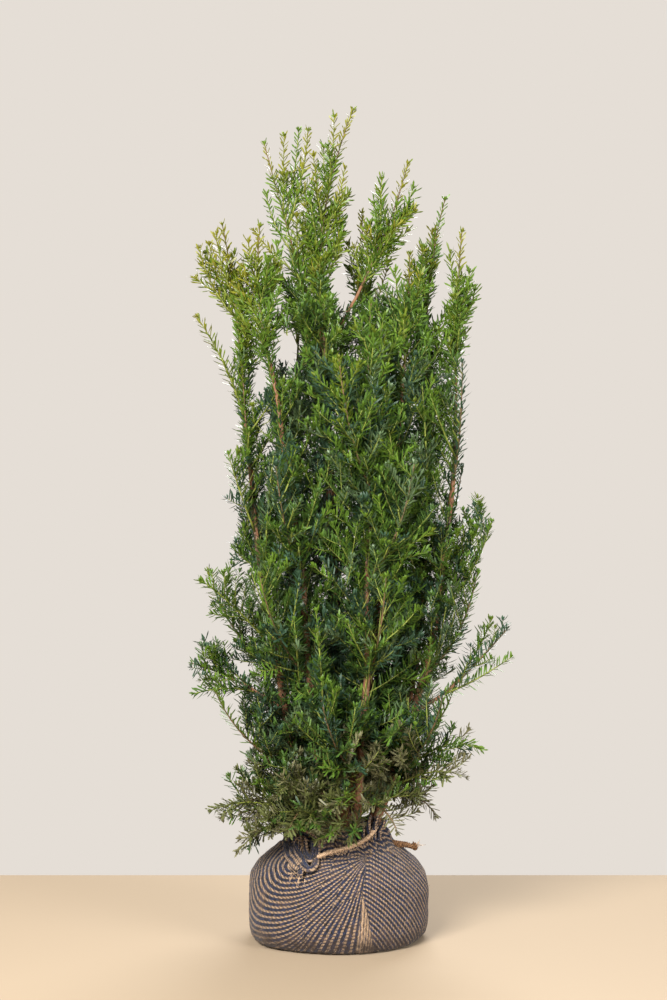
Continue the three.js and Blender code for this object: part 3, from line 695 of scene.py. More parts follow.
def strands(name, start, way, curl, radius, material, steps):
    """Many threads as one piece: each starts at a point, follows its way and bends towards its curl, as start
    plus way times t plus curl times t squared, in a three-sided section that thins to its tip."""
    t = np.linspace(0, 1, steps)[None, :, None]
    line = start[:, None] + way[:, None] * t + curl[:, None] * t * t
    tangent = unit(way[:, None] + 2 * curl[:, None] * t)
    across = unit(np.cross(tangent, [0.31, 0.17, 0.93]))
    deep = np.cross(across, tangent)
    turn = (np.arange(3) * 2 * math.pi / 3)[:, None]
    size = (radius * (1 - 0.6 * t))[..., None]
    section = np.cos(turn) * across[:, :, None] + np.sin(turn) * deep[:, :, None]
    ring = line[:, :, None] + size * section
    last = 3 * (steps - 1)
    ends = [[2, 1, 0], [last, last + 1, last + 2]]
    faces = many(len(start), 3 * steps, grid_faces(steps, 3, True), ends)
    return new_piece(name, ring, *faces, material, False)


def draws(count, seed, low, high):
    """A column of chances between two numbers."""
    return low + (high - low) * chance(np.arange(count), seed, 5)


def scattered(count, *columns):
    """Columns of chances side by side, each given by its seed, its lowest and its highest number."""
    return np.stack([draws(count, *column) for column in columns], axis=1)


def frayed_ends():
    """Start, way and curl of bundles of yarn that hang from the knot and stand off the hem and the tail."""
    knot = on_ball(scattered(KNOT_ENDS, (1, -78, -54), (3, 120, 176), (2, 10, 17)))
    knot_way = scattered(KNOT_ENDS, (4, -5, 6), (5, -4, 0), (6, -10, 3))
    edge = hem_line[(draws(HEM_ENDS, 7, 0.02, 0.98) * len(hem_line)).astype(int)]
    edge_way = scattered(HEM_ENDS, (8, -5, 5), (9, -6, 0), (10, -6, 5))
    knob = np.array(TAIL_PATH[-1]) + scattered(TAIL_ENDS, (11, -3, 1), (12, -3, 3), (13, -3, 3))
    knob_way = scattered(TAIL_ENDS, (14, 3, 13), (15, -4, 4), (16, -4, 6))
    start = np.concatenate([knot, edge, knob])
    curl = scattered(len(start), (17, -4, 4), (18, -3, 2), (19, -5, 3))
    return start, np.concatenate([knot_way, edge_way, knob_way]), curl


def ball_hairs():
    """Start, way and curl of short hairs: each stands on some point of the ball's cloth and leans off it."""
    row = (draws(BALL_HAIRS, 21, 0.12, 0.99) * ball_points.shape[0]).astype(int)
    column = (draws(BALL_HAIRS, 22, 0, 0.9999) * ball_points.shape[1]).astype(int)
    start = ball_points[row, column]
    out = unit(start * [1, 1, 0.3])
    side = scattered(BALL_HAIRS, (23, -1, 1), (24, -1, 1), (25, -1, 1))
    reach = draws(BALL_HAIRS, 26, 1.5, 6.5)[:, None]
    way = (0.35 * out + 0.9 * side) * reach
    way += out * np.maximum(0, 0.15 - np.sum(way * out, axis=1, keepdims=True))
    return start - 0.2 * out, way, (side[:, ::-1] * 0.5 + 0.15 * out) * reach


stands_in(strands("frayed_ends", *frayed_ends(), THREAD_RADIUS, hem_yarn, 7), "cloth")
stands_in(strands("cloth_hairs", *ball_hairs(), HAIR_RADIUS, hem_yarn, 5), "cloth")

# The soil. What shows between the stems inside the neck is crumbly dark earth from the nursery field.
SOIL_DARK = to_linear((52, 38, 28))
SOIL_LIGHT = to_linear((104, 80, 58))
SOIL_RADIUS = 66.0


def soil_material():
    """Crumbly earth in two browns with a coarse bump."""
    material, tree, shader = new_material("soil", 0.98, 0.1)
    crumbs = noise_on(tree, 220, 6)
    colour = mixed(tree, eased_step(tree, crumbs, 0.4, 0.62), SOIL_LIGHT, SOIL_DARK)
    tree.links.new(colour, shader.inputs["Base Color"])
    bumped(tree, shader, crumbs, 1.0, 0.004)
    return material


def soil_grid():
    """Rings from the soil's edge in to its middle: a low crumbly dome, with a short skirt under its edge."""
    turn = np.linspace(0, 2 * math.pi, 120, endpoint=False)[None, :]
    out = np.linspace(SOIL_RADIUS, 1.5, 46)[:, None]
    x, y = out * np.cos(turn), out * np.sin(turn)
    crumb = roughness_of(x / 7, y / 7, 31) * 1.8 + roughness_of(x / 2.5, y / 2.5, 32) * 0.8
    z = BALL_TOP + 3 + 4 * (1 - (out / SOIL_RADIUS) ** 2) + crumb
    dome = np.stack([x, y, z], axis=-1)
    return np.concatenate([dome[:1] - [0, 0, 8], dome])


stands_in(closed_tube("soil", soil_grid(), soil_material()), "bark")

# The stems and boughs: nine stems from one root, with reddish bark that peels in long narrow flakes. They
# follow the same curves as their solids.
GROUND = BALL_TOP + 0.3
# Each stem: its foot, its bend, its tip and its radius
STEMS = {
    "leader": ((-10, 6), (5, 15, 620), (-30, 0, 1010), 11),
    "front": ((2, -24), (75, -62, 520), (106, -36, 915), 10),
    "right": ((40, 12), (165, 32, 400), (146, 30, 960), 10),
    "left": ((-34, -12), (-125, -50, 500), (-158, -25, 915), 8.5),
    "mid_left": ((-26, -38), (-55, -112, 700), (-116, -60, 960), 7.5),
    "outer_right": ((42, -20), (192, -44, 480), (192, -24, 920), 8),
    "back_left": ((-26, 34), (-110, 150, 520), (-74, 116, 915), 8.5),
    "back_right": ((20, 40), (112, 150, 500), (58, 106, 930), 8.5),
    "front_mid": ((26, -44), (52, -150, 480), (46, -112, 800), 7),
}
# Each bough: its stem, the height it leaves it at, its bend, its tip and its radius
BOUGHS = {
    "high_right": ("leader", 960, (12, -6, 1015), (38, -9, 1070), 3.6),
    "low_left": ("left", 372, (-125, -40, 402), (-160, -36, 420), 3.6),
    "low_right": ("outer_right", 372, (165, -30, 392), (198, -26, 424), 3.6),
}
STEM_TIP_SHARE = 0.34  # a stem's radius at its tip, as a share of its radius
BOUGH_TAPER = 0.4
FLARE_SHARE = 0.45  # how much wider a stem is at the ground
FLARE_HEIGHT = 30.0
SWAY = 3.2  # how far a stem wanders off its curve
BARK_RED = to_linear((124, 86, 60))
# the dark brown of the grooves, partly the bark's own colour and partly painted shade
BARK_DARK_AND_SHADE = to_linear((54, 40, 32))
BARK_GREY = to_linear((132, 110, 90))


def on_curve(start, bend, tip, t):
    """Points of quadratic curves; t has one value, or one column, for each curve."""
    t = np.asarray(t, float)[..., None]
    return (1 - t) ** 2 * start + 2 * t * (1 - t) * bend + t * t * tip


def heading_on(start, bend, tip, t):
    """The directions of quadratic curves, as for on_curve: their slope, made one long."""
    t = np.asarray(t, float)[..., None]
    return unit(2 * (1 - t) * (bend - start) + 2 * t * (tip - bend))


def limb_curve(start, bend, end, sway, seed):
    """The curve of a limb by the way t: a quadratic curve and a wander of sin(pi t) sin(5 pi t + turn)."""
    start, bend, end = (np.asarray(v, float) for v in (start, bend, end))
    turn = 2 * math.pi * float(chance(seed, 7, 7))

    def at(t):
        smooth = on_curve(start, bend, end, t)
        t = np.asarray(t, float)[..., None]
        wander = sway * np.sin(math.pi * t) * np.sin(5 * math.pi * t + turn)
        return smooth + wander * np.array([math.cos(turn), math.sin(turn), 0])

    return at


def tangent_of(curve, t):
    """The unit direction of a curve: the difference of two near points."""
    t = np.asarray(t, float)
    return unit(curve(np.minimum(1, t + 0.01)) - curve(np.maximum(0, t - 0.01)))


def way_at_height(curve, height):
    """How far along its curve a stem reaches a height, by halving."""
    low, high = 0.0, 1.0
    for _ in range(30):
        middle = (low + high) / 2
        low, high = (middle, high) if curve(middle)[2] < height else (low, middle)
    return low


def at_height(curve, height):
    """The point of a stem's curve at a height."""
    return curve(way_at_height(curve, height))


def stem_radius(curve, radius):
    """The stem's radius along the way: it thins evenly to its tip, and flares at the ground."""

    def at(t):
        flare = FLARE_SHARE * np.maximum(0, 1 - (curve(t)[..., 2] - GROUND) / FLARE_HEIGHT) ** 2
        return radius * (1 - (1 - STEM_TIP_SHARE) * t + flare)

    return at


def bough_radius(radius):
    """The bough's radius along the way: it thins evenly."""
    return lambda t: radius * (1 - BOUGH_TAPER * t)


def bark_grid(curve, radius_at, rows, sides, seed):
    """A limb's bark: a circle carried along its curve, with long narrow flakes and small knots in relief."""
    t = np.linspace(0, 1, rows)
    path = curve(t)
    radii = radius_at(t)
    grid = tube_grid(path, radii, sides)
    length = way_along(path)[:, None]
    turn = np.linspace(0, 2 * math.pi, sides, endpoint=False)[None, :]
    x, y = np.cos(turn) * 2.2, np.sin(turn) * 2.2
    flake = roughness_of(x * 1.6 + length / 60, y * 1.6 + length / 26, seed)
    flake = np.sign(flake) * np.abs(flake) ** 0.5
    ridge = roughness_of(x * 3.3, y * 3.3 + length / 14, seed + 1)
    knot = np.maximum(0, roughness_of(x * 0.7 + 9, length / 22 + y * 0.7, seed + 2) - 0.55)
    relief = radii[:, None] * (0.07 * flake + 0.05 * ridge + 0.4 * knot)
    return grid + unit(grid - path[:, None]) * relief[..., None]


def bark_material():
    """Peeling bark, stretched up the stem: red-brown under-bark, grey-brown flakes, and dark grooves that are
    partly painted shade.
    """
    material, tree, shader = new_material("yew_bark", 0.82, 0.3)
    streak = noise_on(tree, 90, 5, (1, 1, 0.16))
    fine = noise_on(tree, 420, 4, (1, 1, 0.25))
    # Dark brown where the long streaks, and so the bump, are low: partly the bark's own colour, partly
    # painted shade.
    colour = mixed(tree, eased_step(tree, streak, 0.36, 0.5), BARK_RED, BARK_DARK_AND_SHADE)
    colour = mixed(tree, eased_step(tree, fine, 0.34, 0.44), colour, BARK_GREY)
    tree.links.new(colour, shader.inputs["Base Color"])
    bumped(tree, shader, math_node(tree, "MULTIPLY_ADD", fine, 0.5, streak), 0.9, 0.0016)
    return material


bark = bark_material()
limbs = {}  # the curve and the radius along the way of every stem and bough
for index, (name, (foot, bend, tip, radius)) in enumerate(STEMS.items()):
    curve = limb_curve((*foot, GROUND), bend, tip, SWAY, index)
    limbs[name] = (curve, stem_radius(curve, radius))
    grid = bark_grid(*limbs[name], 260, 22, 50 + index)
    grid[0, :, 2] = GROUND
    stands_in(closed_tube("bark_" + name, grid, bark), "bark", "stem_" + name)
for index, (name, (carrier, height, bend, tip, radius)) in enumerate(BOUGHS.items()):
    curve = limb_curve(at_height(limbs[carrier][0], height), bend, tip, SWAY / 3, 40 + index)
    limbs[name] = (curve, bough_radius(radius))
    grid = bark_grid(*limbs[name], 70, 14, 70 + index)
    stands_in(closed_tube("bark_" + name, grid, bark), "bark", "bough_" + name)

# The twigs. Every mass of foliage grows from one leading twig, off a stem's tip or side. Twigs leave it in a
# spiral, open outwards and lift to the light, and shorter shoots leave them in turn.
PLANT_HEIGHT = 1361.0
SPACE_MARGIN = 2.6  # the least way from a twig to the leading twig of another mass
TWIG_LIFT = 0.5  # how strongly a twig turns up to the light
SHOOT_LIFT = 0.45
TWIG_SHARES = (1, 0.8, 0.62, 0.45, 0.32)  # the lengths tried for a twig
LEAST_TWIG = 22.0
LEAST_SHOOT = 24.0
GOLDEN_TURN = math.radians(137.508)
# The crown of the solids: height, then its reach to the left, the right and in depth
CROWN = np.array(
    [(160, 165, 150, 158), (215, 208, 165, 180), (310, 192, 228, 190), (430, 222, 218, 195),
     (590, 222, 228, 192), (690, 198, 246, 184), (800, 176, 228, 174), (930, 165, 220, 158),
     (1045, 170, 215, 145)], float
)
# The finer outline that the added twigs keep to, in the same columns
OUTLINE = np.array(
    [(180, 146, 96, 146), (207, 160, 132, 150), (256, 170, 148, 158), (306, 156, 150, 165),
     (355, 154, 164, 170), (405, 160, 180, 174), (454, 178, 196, 176), (504, 162, 196, 176),
     (553, 158, 208, 176), (603, 178, 211, 174), (652, 170, 209, 172), (702, 148, 194, 168),
     (751, 142, 180, 164), (801, 160, 175, 160), (850, 153, 181, 155), (900, 152, 192, 150),
     (949, 158, 196, 148), (999, 174, 196, 146), (1048, 192, 197, 145)], float
)
# The masses at the tips of the stems and boughs: tip, spread, how erect their twigs are, and their angle
PLUMES = {
    "leader": ((24, -4, PLANT_HEIGHT), 84, 0.5, 26),
    "front": ((116, -40, 1118), 70, 0.3, 34),
    "right": ((177, 24, 1218), 62, 0.25, 32),
    "left": ((-190, -24, 1168), 78, 0.7, 28),
    "mid_left": ((-128, -50, 1162), 62, 0.4, 30),
    "outer_right": ((202, -18, 1158), 52, 0.25, 30),
    "back_left": ((-78, 92, 1150), 76, 0.4, 34),
    "back_right": ((40, 84, 1205), 74, 0.4, 34),
    "front_mid": ((52, -92, 1035), 74, 0.3, 34),
    "high_right": ((114, -6, 1271), 60, 0.6, 26),
    "low_left": ((-238, -40, 452), 50, 0.1, 38),
    "low_right": ((276, -20, 506), 60, 0.4, 30),
}
PLUME_SPACING = 52.0  # from one of a mass's own twigs to the next
SIDE_SPACING = 28.0
SIDE_ERECT = 0.25
# The masses round the stems: from what height to what height, share of the crown's reach, how many, the
# bearing of the first, spread and angle
TIERS = {
    "skirt": (232, 196, 1, 6, 183, 110, 50),
    "low": (270, 410, 1, 6, 22, 96, 46),
    "middle": (430, 600, 1, 6, 352, 96, 44),
    "upper": (590, 775, 1, 5, 20, 96, 42),
    "high": (745, 940, 1, 5, 342, 90, 40),
    "crest": (835, 1045, 0.42, 3, 246, 90, 36),
}
# The mass that fans out to the left of the leader: its stem, at what height it leaves it, then as for a plume
FAN = ("leader", 985, (-122, -8, 1304), 90, 0.5, 34)
LEVEL_PLUMES = ("low_left", "low_right")  # these reach out level, so they bear flat sprays
CROWN_TOP = 1060.0  # above this height the crown has no sides, only single shoots
OUTLINE_TOP = 1050.0
OVER_NECK = 186.0  # added twigs keep above this height
BESIDE_BALL = (150, 160)  # or outside this radius above this height
BUNCH_SPACE = (62, 44, 224, -20)  # none grow before the bunched corner: middle, half width, top and back
ADDED_REACH = 0.5  # how far the added twigs of a plume may reach from its middle, as a share of its spread
PLUME_TWIG = 112.0  # the longest twig of a plume, apart from its single shoots
TWIGGY_SHARE = 0.52  # above this share of its way, a plume's leading twig bears no twigs by the rule
# The long single shoots of the plumes: at what height each leaves its plume's leading twig, and its tip
TIP_SHOOTS = {
    "leader": [(1222, (-7, -14, 1347)), (1212, (-25, 10, 1301)), (1150, (10, -16, 1262)),
               (1090, (6, 14, 1176))],
    "leader_fan": [(1165, (-50, -12, 1325)), (1180, (-66, 6, 1328)), (1190, (-90, -4, 1318)),
                   (1120, (-120, 8, 1224)), (1060, (-86, -20, 1158))],
    "left": [(1050, (-199, -40, 1150)), (1030, (-212, -12, 1138)), (1015, (-228, -26, 1129)),
             (1040, (-172, -8, 1122))],
    "mid_left": [(1050, (-98, -40, 1135)), (1060, (-146, -62, 1134)), (1030, (-112, -70, 1108))],
    "high_right": [(1150, (122, -22, 1228)), (1110, (62, -24, 1172)), (1120, (88, 10, 1160))],
    "right": [(1040, (138, 6, 1134)), (1070, (158, 36, 1166)), (1050, (186, 30, 1120))],
    "outer_right": [(1020, (214, -30, 1090)), (1040, (184, -8, 1124)), (1000, (224, -12, 1062))],
    "back_right": [(1090, (62, 96, 1158)), (1070, (16, 76, 1150))],
    "back_left": [(1060, (-96, 104, 1122)), (1050, (-54, 84, 1126))],
    "front": [(1020, (132, -52, 1082)), (1000, (92, -36, 1090))],
    "front_mid": [(950, (36, -104, 1006)), (940, (72, -86, 1010))],
}
# Sprays that reach out of the crown: the stem they leave and at what height, their bend and their tip
OUTER_SPRAYS = (
    ("low_left", 404, (-176, -52, 420), (-233, -56, 405)),
    ("low_left", 410, (-190, -20, 452), (-222, -14, 478)),
    ("low_right", 400, (220, -34, 418), (280, -44, 462)),
    ("low_right", 412, (236, 0, 470), (252, 8, 520)),
    ("outer_right", 520, (228, -30, 600), (250, -34, 682)),
    ("outer_right", 560, (222, -20, 640), (236, -8, 706)),
    ("outer_right", 250, (168, -60, 352), (230, -58, 314)),
    ("outer_right", 240, (150, -70, 300), (204, -76, 272)),
    ("left", 470, (-176, -70, 560), (-222, -64, 588)),
    ("left", 190, (-130, -60, 250), (-206, -58, 216)),
    ("left", 176, (-104, -70, 222), (-160, -96, 158)),
    ("left", 204, (-84, -76, 244), (-112, -122, 200)),
    ("mid_left", 196, (-52, -112, 232), (-80, -152, 196)),
    ("mid_left", 216, (-34, -122, 254), (-48, -166, 214)),
    ("front_mid", 192, (4, -112, 226), (-22, -158, 188)),
    ("front_mid", 226, (14, -122, 268), (-4, -168, 236)),
    ("front_mid", 190, (34, -96, 218), (20, -142, 188)),
    ("mid_left", 250, (-60, -112, 290), (-92, -150, 262)),
    ("front", 285, (24, -112, 326), (40, -134, 372)),
    ("front", 330, (60, -104, 372), (38, -136, 424)),
    ("front", 300, (66, -104, 322), (88, -138, 352)),
    ("left", 840, (-172, -60, 930), (-230, -40, 1016)),
    ("left", 660, (-160, -70, 730), (-178, -70, 792)),
)
# Shoots straight off the stems: lowest and highest start, how many on a stem, angle, lengths and lift
INNER_SHOOTS = (
    (190, 420, 30, 62, (60, 125), 0.35),
    (400, 960, 46, 45, (60, 135), 0.55),
    (520, 985, 26, 26, (42, 76), 0.6),
)
LEAFY_FROM = 680.0  # above this height the stems bear needles of their own
# How finer shoots leave each kind of shoot: between which shares of its way, how long for its length, at what
# angle, and the longest of them
FINER_SHOOTS = {
    "twig": (0.2, 0.86, 0.55, 44, 90),
    "leading": (0.1, 0.97, 0.5, 46, 80),
    "plume": (0.0, 0.5, 0.3, 38, 60),
    "single": (0.1, 0.45, 0.34, 30, 44),
    "spray": (0.25, 0.94, 0.36, 46, 52),
    "inner": (0.3, 0.9, 0.5, 44, 80),
    "young": (0.3, 0.97, 0.24, 46, 60),
}
LEVEL_SLACK, SIDE_SLACK = 60.0, 2.0  # how far out of the outline they may reach on level plumes and elsewhere
# Long green young stems in front: the stem they leave and at what height, their bend and their tip
YOUNG_STEMS = (
    ("mid_left", 240, (-14, -168, 330), (-36, -150, 545)),
    ("right", 430, (136, -112, 500), (34, -118, 748)),
    ("front", 650, (70, -108, 730), (22, -100, 900)),
    ("left", 520, (-128, -100, 600), (-104, -92, 790)),
    ("front", 600, (30, -126, 700), (28, -120, 905)),
    ("front", 560, (58, -130, 690), (46, -122, 892)),
    ("right", 560, (96, -110, 680), (72, -116, 896)),
    ("right", 600, (150, -74, 700), (134, -84, 902)),
)


def crown_reach(height, bearing, widths=CROWN):
    """The crown's half width at heights and bearings: an ellipse between its side and front widths."""
    left, right, deep = (np.interp(height, widths[:, 0], widths[:, k]) for k in (1, 2, 3))
    across = np.where(np.cos(bearing) > 0, right, left)
    return 1 / np.hypot(np.cos(bearing) / across, np.sin(bearing) / deep)


def new_mass(name, start, bend, tip, spread, erect, opening, index, spacing):
    """A mass of foliage: its leading twig's curve and the rule that its twigs follow."""
    start, bend, tip = (np.asarray(v, float) for v in (start, bend, tip))
    curve = limb_curve(start, bend, tip, 1.5, index)
    plume = name in (*PLUMES, "leader_fan")
    return dict(
        name=name, start=start, tip=tip, curve=curve, spread=spread, erect=erect, opening=opening,
        index=index, spacing=spacing, length=float(np.linalg.norm(tip - start)),
        stations=curve(np.arange(9) / 8), plume=plume, side=not plume or name in LEVEL_PLUMES,
    )


def nearest_stem(height, tip):
    """Where, at a height, the stem stands that is nearest a tip as seen from above. Stems that end near that
    height don't count."""
    curves = [limbs[name][0] for name in STEMS]
    places = [at_height(curve, height) for curve in curves if curve(1.0)[2] > height + 30]
    return min(places, key=lambda place: math.hypot(*(place - tip)[:2]))


masses = []
for k, (name, (tip, spread, erect, opening)) in enumerate(PLUMES.items()):
    curve = limbs[name][0]
    way = tangent_of(curve, 1.0)
    start = curve(1.0) + 0.3 * way
    bend = start + way * np.linalg.norm(np.array(tip) - start) / 2
    masses.append(new_mass(name, start, bend, tip, spread, erect, opening, 100 + k, PLUME_SPACING))
carrier, height, tip, spread, erect, opening = FAN
start = at_height(limbs[carrier][0], height)
bend = start + 0.4 * (np.array(tip) - start) - [0, 0, 25]
masses.append(new_mass("leader_fan", start, bend, tip, spread, erect, opening, 150, PLUME_SPACING))
for k, (name, (low, high, share, count, first, spread, opening)) in enumerate(TIERS.items()):
    for i in range(count):
        bearing = math.radians(first + 360 * i / count)
        reach = float(crown_reach(high, bearing)) * share
        tip = np.array([reach * math.cos(bearing), reach * math.sin(bearing), high])
        start = nearest_stem(low, tip)
        bend = start + 0.75 * (tip - start)
        bend[2] = low + 0.3 * (max(high, low) - low) + 6
        shape = (start, bend, tip, spread, SIDE_ERECT, opening)
        masses.append(new_mass(f"{name}_{i + 1}", *shape, 200 + 20 * k + i, SIDE_SPACING))


def distance_to(stations, places):
    """The nearest way from each place to a broken line through stations."""
    a, b = stations[:-1], stations[1:]
    way = b - a
    share = np.einsum("nk,sk->ns", places, way) - np.einsum("sk,sk->s", a, way)[None]
    share = np.clip(share / np.einsum("sk,sk->s", way, way), 0, 1)
    near = a[None] + share[..., None] * way[None]
    return np.linalg.norm(places[:, None] - near, axis=2).min(axis=1)


def inside_crown(places):
    """Which places lie inside the crown and above the cloth, by the solids' rule."""
    r = np.hypot(places[..., 0], places[..., 1])
    z = places[..., 2]
    inside = (z > CROWN_TOP) | (r <= crown_reach(z, np.arctan2(places[..., 1], places[..., 0])))
    over = ((z > BALL_TOP + 8) & (r > 96)) | (z > BALL_TOP + 45) | (r > 158)
    return inside & over & (z <= PLANT_HEIGHT)


def inside_outline(places, slack=0.0):
    """Which places lie inside the finer outline, clear of the cloth and of the bunched corner in front."""
    r = np.hypot(places[..., 0], places[..., 1])
    z = places[..., 2]
    reach = crown_reach(z, np.arctan2(places[..., 1], places[..., 0]), OUTLINE)
    clear = (z > OVER_NECK) | ((r > BESIDE_BALL[0]) & (z > BESIDE_BALL[1]))
    middle, half, top, back = BUNCH_SPACE
    bunch = (places[..., 1] < back) & (np.abs(places[..., 0] - middle) < half) & (z < top)
    return (r <= reach + slack) & (z < OUTLINE_TOP) & clear & ~bunch


def sideways(way):
    """Level unit vectors square to directions."""
    flat = np.stack([-way[..., 1], way[..., 0], 0 * way[..., 0]], axis=-1)
    size = np.linalg.norm(flat, axis=-1, keepdims=True)
    return np.where(size < 1e-3, [1.0, 0, 0], flat / np.maximum(size, 1e-9))


def leaving(tangent, turn, opening):
    """Directions that leave a twig at an angle, turned round it from the level."""
    across = sideways(tangent)
    lift = np.cross(tangent, across)
    outward = across * np.cos(turn)[..., None] + lift * np.sin(turn)[..., None]
    return tangent * np.cos(opening)[..., None] + outward * np.sin(opening)[..., None]


def lifted_shoot(start, way, length, lift):
    """Bend and tip of shoots that set off one way and turn up to the light in their outer half."""
    bend = start + way * (0.55 * length)[:, None]
    return bend, bend + unit(way + np.array([0, 0, lift])) * (0.45 * length)[:, None]


# Where the wall shows through the crown in the photo, on the upright plane through the ball's middle: how far
# right of the picture's middle, how high, half its width and half its height
SKY = (
    (-73, 965, 23, 31), (-121, 923, 15, 28), (19, 1053, 10, 21), (116, 942, 8, 17), (181, 1076, 12, 44),
    (-78, 1117, 8, 43), (-116, 838, 10, 18), (-18, 726, 6, 9),
)
EYE = (-8.25, -3000.0, 718.0)  # where the camera stands


def against_sky(places):
    """Which places stand in line with the eye and an open place of the crown."""
    nearer = EYE[1] / (EYE[1] - places[..., 1])
    across, up = (places[..., 0] - EYE[0]) * nearer, EYE[2] + (places[..., 2] - EYE[2]) * nearer
    open_to = np.zeros(across.shape, bool)
    for x, z, half_width, half_height in SKY:
        open_to |= np.hypot((across - x) / half_width, (up - z) / half_height) < 1
    return open_to


def twig_space(mass, place, index):
    """Whether a twig may reach a place: nearer its own mass's leading twig than any other's, inside the crown
    and near enough to the mass's foot. A mass at the side keeps to the finer outline too, and the added twigs
    of a plume keep near its middle."""
    others = [other["stations"] for other in masses if other is not mass]
    own = distance_to(mass["stations"], place)
    other = np.min([distance_to(stations, place) for stations in others], axis=0)
    fits = mass["side"] | (index % 2 == 0) | (own < ADDED_REACH * mass["spread"])
    fits &= (other >= own * 0.8 + SPACE_MARGIN) & inside_crown(place)
    fits &= inside_outline(place, 6.0) | mass["plume"]
    return fits & (np.linalg.norm(place - mass["start"], axis=1) <= mass["length"])


def mass_twigs(mass):
    """The twigs of a mass by the solids' rule, twice as many of them: every other one is the solid's own.
    A twig is shortened until it keeps to the mass's own space."""
    count = 2 * round(mass["length"] / mass["spacing"])
    i = np.arange(count)

    def draw(k):
        return chance(mass["index"] + 0 * i, i, k + 0 * i)

    share = (i + 0.5) / count
    t = 0.08 + 0.84 * share + 0.04 * (draw(1) - 0.5)
    start = mass["curve"](t)
    turn = GOLDEN_TURN * i + 2 * math.pi * float(chance(mass["index"], 0, 9))
    opening = np.radians(mass["opening"] * (0.8 + 0.4 * draw(2)))
    way = leaving(tangent_of(mass["curve"], t), turn, opening)
    full = mass["spread"] * (0.55 + 0.75 * np.sin(math.pi * (0.2 + 0.72 * share)))
    rising = (1 - t) * mass["length"] * (0.72 + 0.34 * draw(3))
    erect = mass["erect"]
    length = full * (0.75 + 0.35 * draw(4)) * (1 - erect) + rising * erect
    if not mass["side"]:
        length = np.minimum(length, PLUME_TWIG * (0.7 + 0.5 * draw(5)))
    chosen = np.zeros(count)
    for part in TWIG_SHARES:
        bend, tip = lifted_shoot(start, way, length * part, TWIG_LIFT)
        middle = on_curve(start, bend, tip, 0.6)
        end = on_curve(start, bend, tip, 1.0)
        fits = (length * part > LEAST_TWIG) & twig_space(mass, middle, i) & twig_space(mass, end, i)
        chosen = np.where((chosen == 0) & fits, part, chosen)
    keep = (chosen > 0) & (mass["side"] | (t < TWIGGY_SHARE))
    length = (length * chosen)[keep]
    return start[keep], *lifted_shoot(start[keep], way[keep], length, TWIG_LIFT), length


def side_shoots(kind, shoot, count, seed, slack=None):
    """Finer shoots that leave shoots of a kind, left and right of them in turn. A slack says how far out of
    the finer outline they may reach. Without one, they keep inside the crown."""
    start, bend, tip, length = shoot
    low, high, shorter, opening, longest = FINER_SHOOTS[kind]
    twig, k = (column.ravel() for column in np.indices((len(start), count)))
    t = low + (high - low) * (k + chance(twig, k, seed)) / count
    arc = start[twig], bend[twig], tip[twig], t
    turn = math.pi * k + 1.1 * (chance(twig, k, seed + 1) - 0.5) + 2.4 * chance(twig, 0 * k, seed + 2)
    way = leaving(heading_on(*arc), turn, np.radians(opening * (0.75 + 0.5 * chance(twig, k, seed + 3))))
    size = length[twig] * shorter * (1.1 - 0.6 * t) * (0.65 + 0.7 * chance(twig, k, seed + 4))
    size = np.clip(size, LEAST_SHOOT, longest)
    base = on_curve(*arc)
    bend, tip = lifted_shoot(base, way, size, SHOOT_LIFT)
    keep = inside_crown(tip) if slack is None else inside_outline(tip, slack)
    return [column[keep] for column in (base, bend, tip, size)]


def one_shoot(start, bend, tip):
    """A single long shoot as arrays of one row."""
    start, bend, tip = (np.array(v, float)[None] for v in (start, bend, tip))
    return start, bend, tip, np.linalg.norm(tip - start, axis=1)


# Start, bend, tip and length of the shoots of each kind
shoots = {kind: [] for kind in ("erect", "lead", "twig", "side", "inner", "young", "stem")}


def grow_mass(number, mass):
    """Adds a mass's leading twig, its twigs, the shoots that leave them, and its long single shoots."""
    lead_bend = 2 * mass["curve"](0.5) - (mass["start"] + mass["tip"]) / 2
    lead = one_shoot(mass["start"], lead_bend, mass["tip"])
    twigs = mass_twigs(mass)
    seed = 300 + 16 * number
    shoots["lead"].append(lead)
    if mass["side"]:
        slack = LEVEL_SLACK if mass["name"] in LEVEL_PLUMES else SIDE_SLACK
        count = max(6, int(mass["length"] / 15))
        shoots["twig"].append(twigs)
        shoots["side"].append(side_shoots("twig", twigs, 3, seed, slack))
        shoots["side"].append(side_shoots("leading", lead, count, seed + 8, slack + 14))
    else:
        count = max(5, int(mass["length"] / 12))
        shoots["erect"].append(twigs)
        shoots["erect"].append(side_shoots("plume", lead, count, seed + 8))
    for k, (height, tip) in enumerate(TIP_SHOOTS.get(mass["name"], ())):
        start = at_height(mass["curve"], height)
        single = one_shoot(start, start + (np.array(tip) - start) * [0.8, 0.8, 0.45], tip)
        shoots["erect"].append(single)
        shoots["erect"].append(side_shoots("single", single, 2, seed + 40 * k))


def grow_inner(number, curve):
    """Adds the shoots straight off a stem, and on the lower ones the finer shoots that leave them."""
    for part, (low, high, count, opening, (least, most), lift) in enumerate(INNER_SHOOTS):
        first, last = way_at_height(curve, low), way_at_height(curve, high)
        k = np.arange(count)
        t = first + (last - first) * (k + 0.5) / count
        open_to = np.radians(opening + 22 * (chance(k, number, 41 + 4 * part) - 0.5))
        way = leaving(tangent_of(curve, t), GOLDEN_TURN * k + number, open_to)
        size = least + (most - least) * chance(k, number, 42 + 4 * part)
        bend, tip = lifted_shoot(curve(t), way, size, lift)
        keep = inside_outline(tip)
        inner = [column[keep] for column in (curve(t), bend, tip, size)]
        shoots["inner"].append(inner)
        if part < 2:
            seed = 1500 + 16 * number + 8 * part
            shoots["side"].append(side_shoots("inner", inner, 3, seed, 0.0))


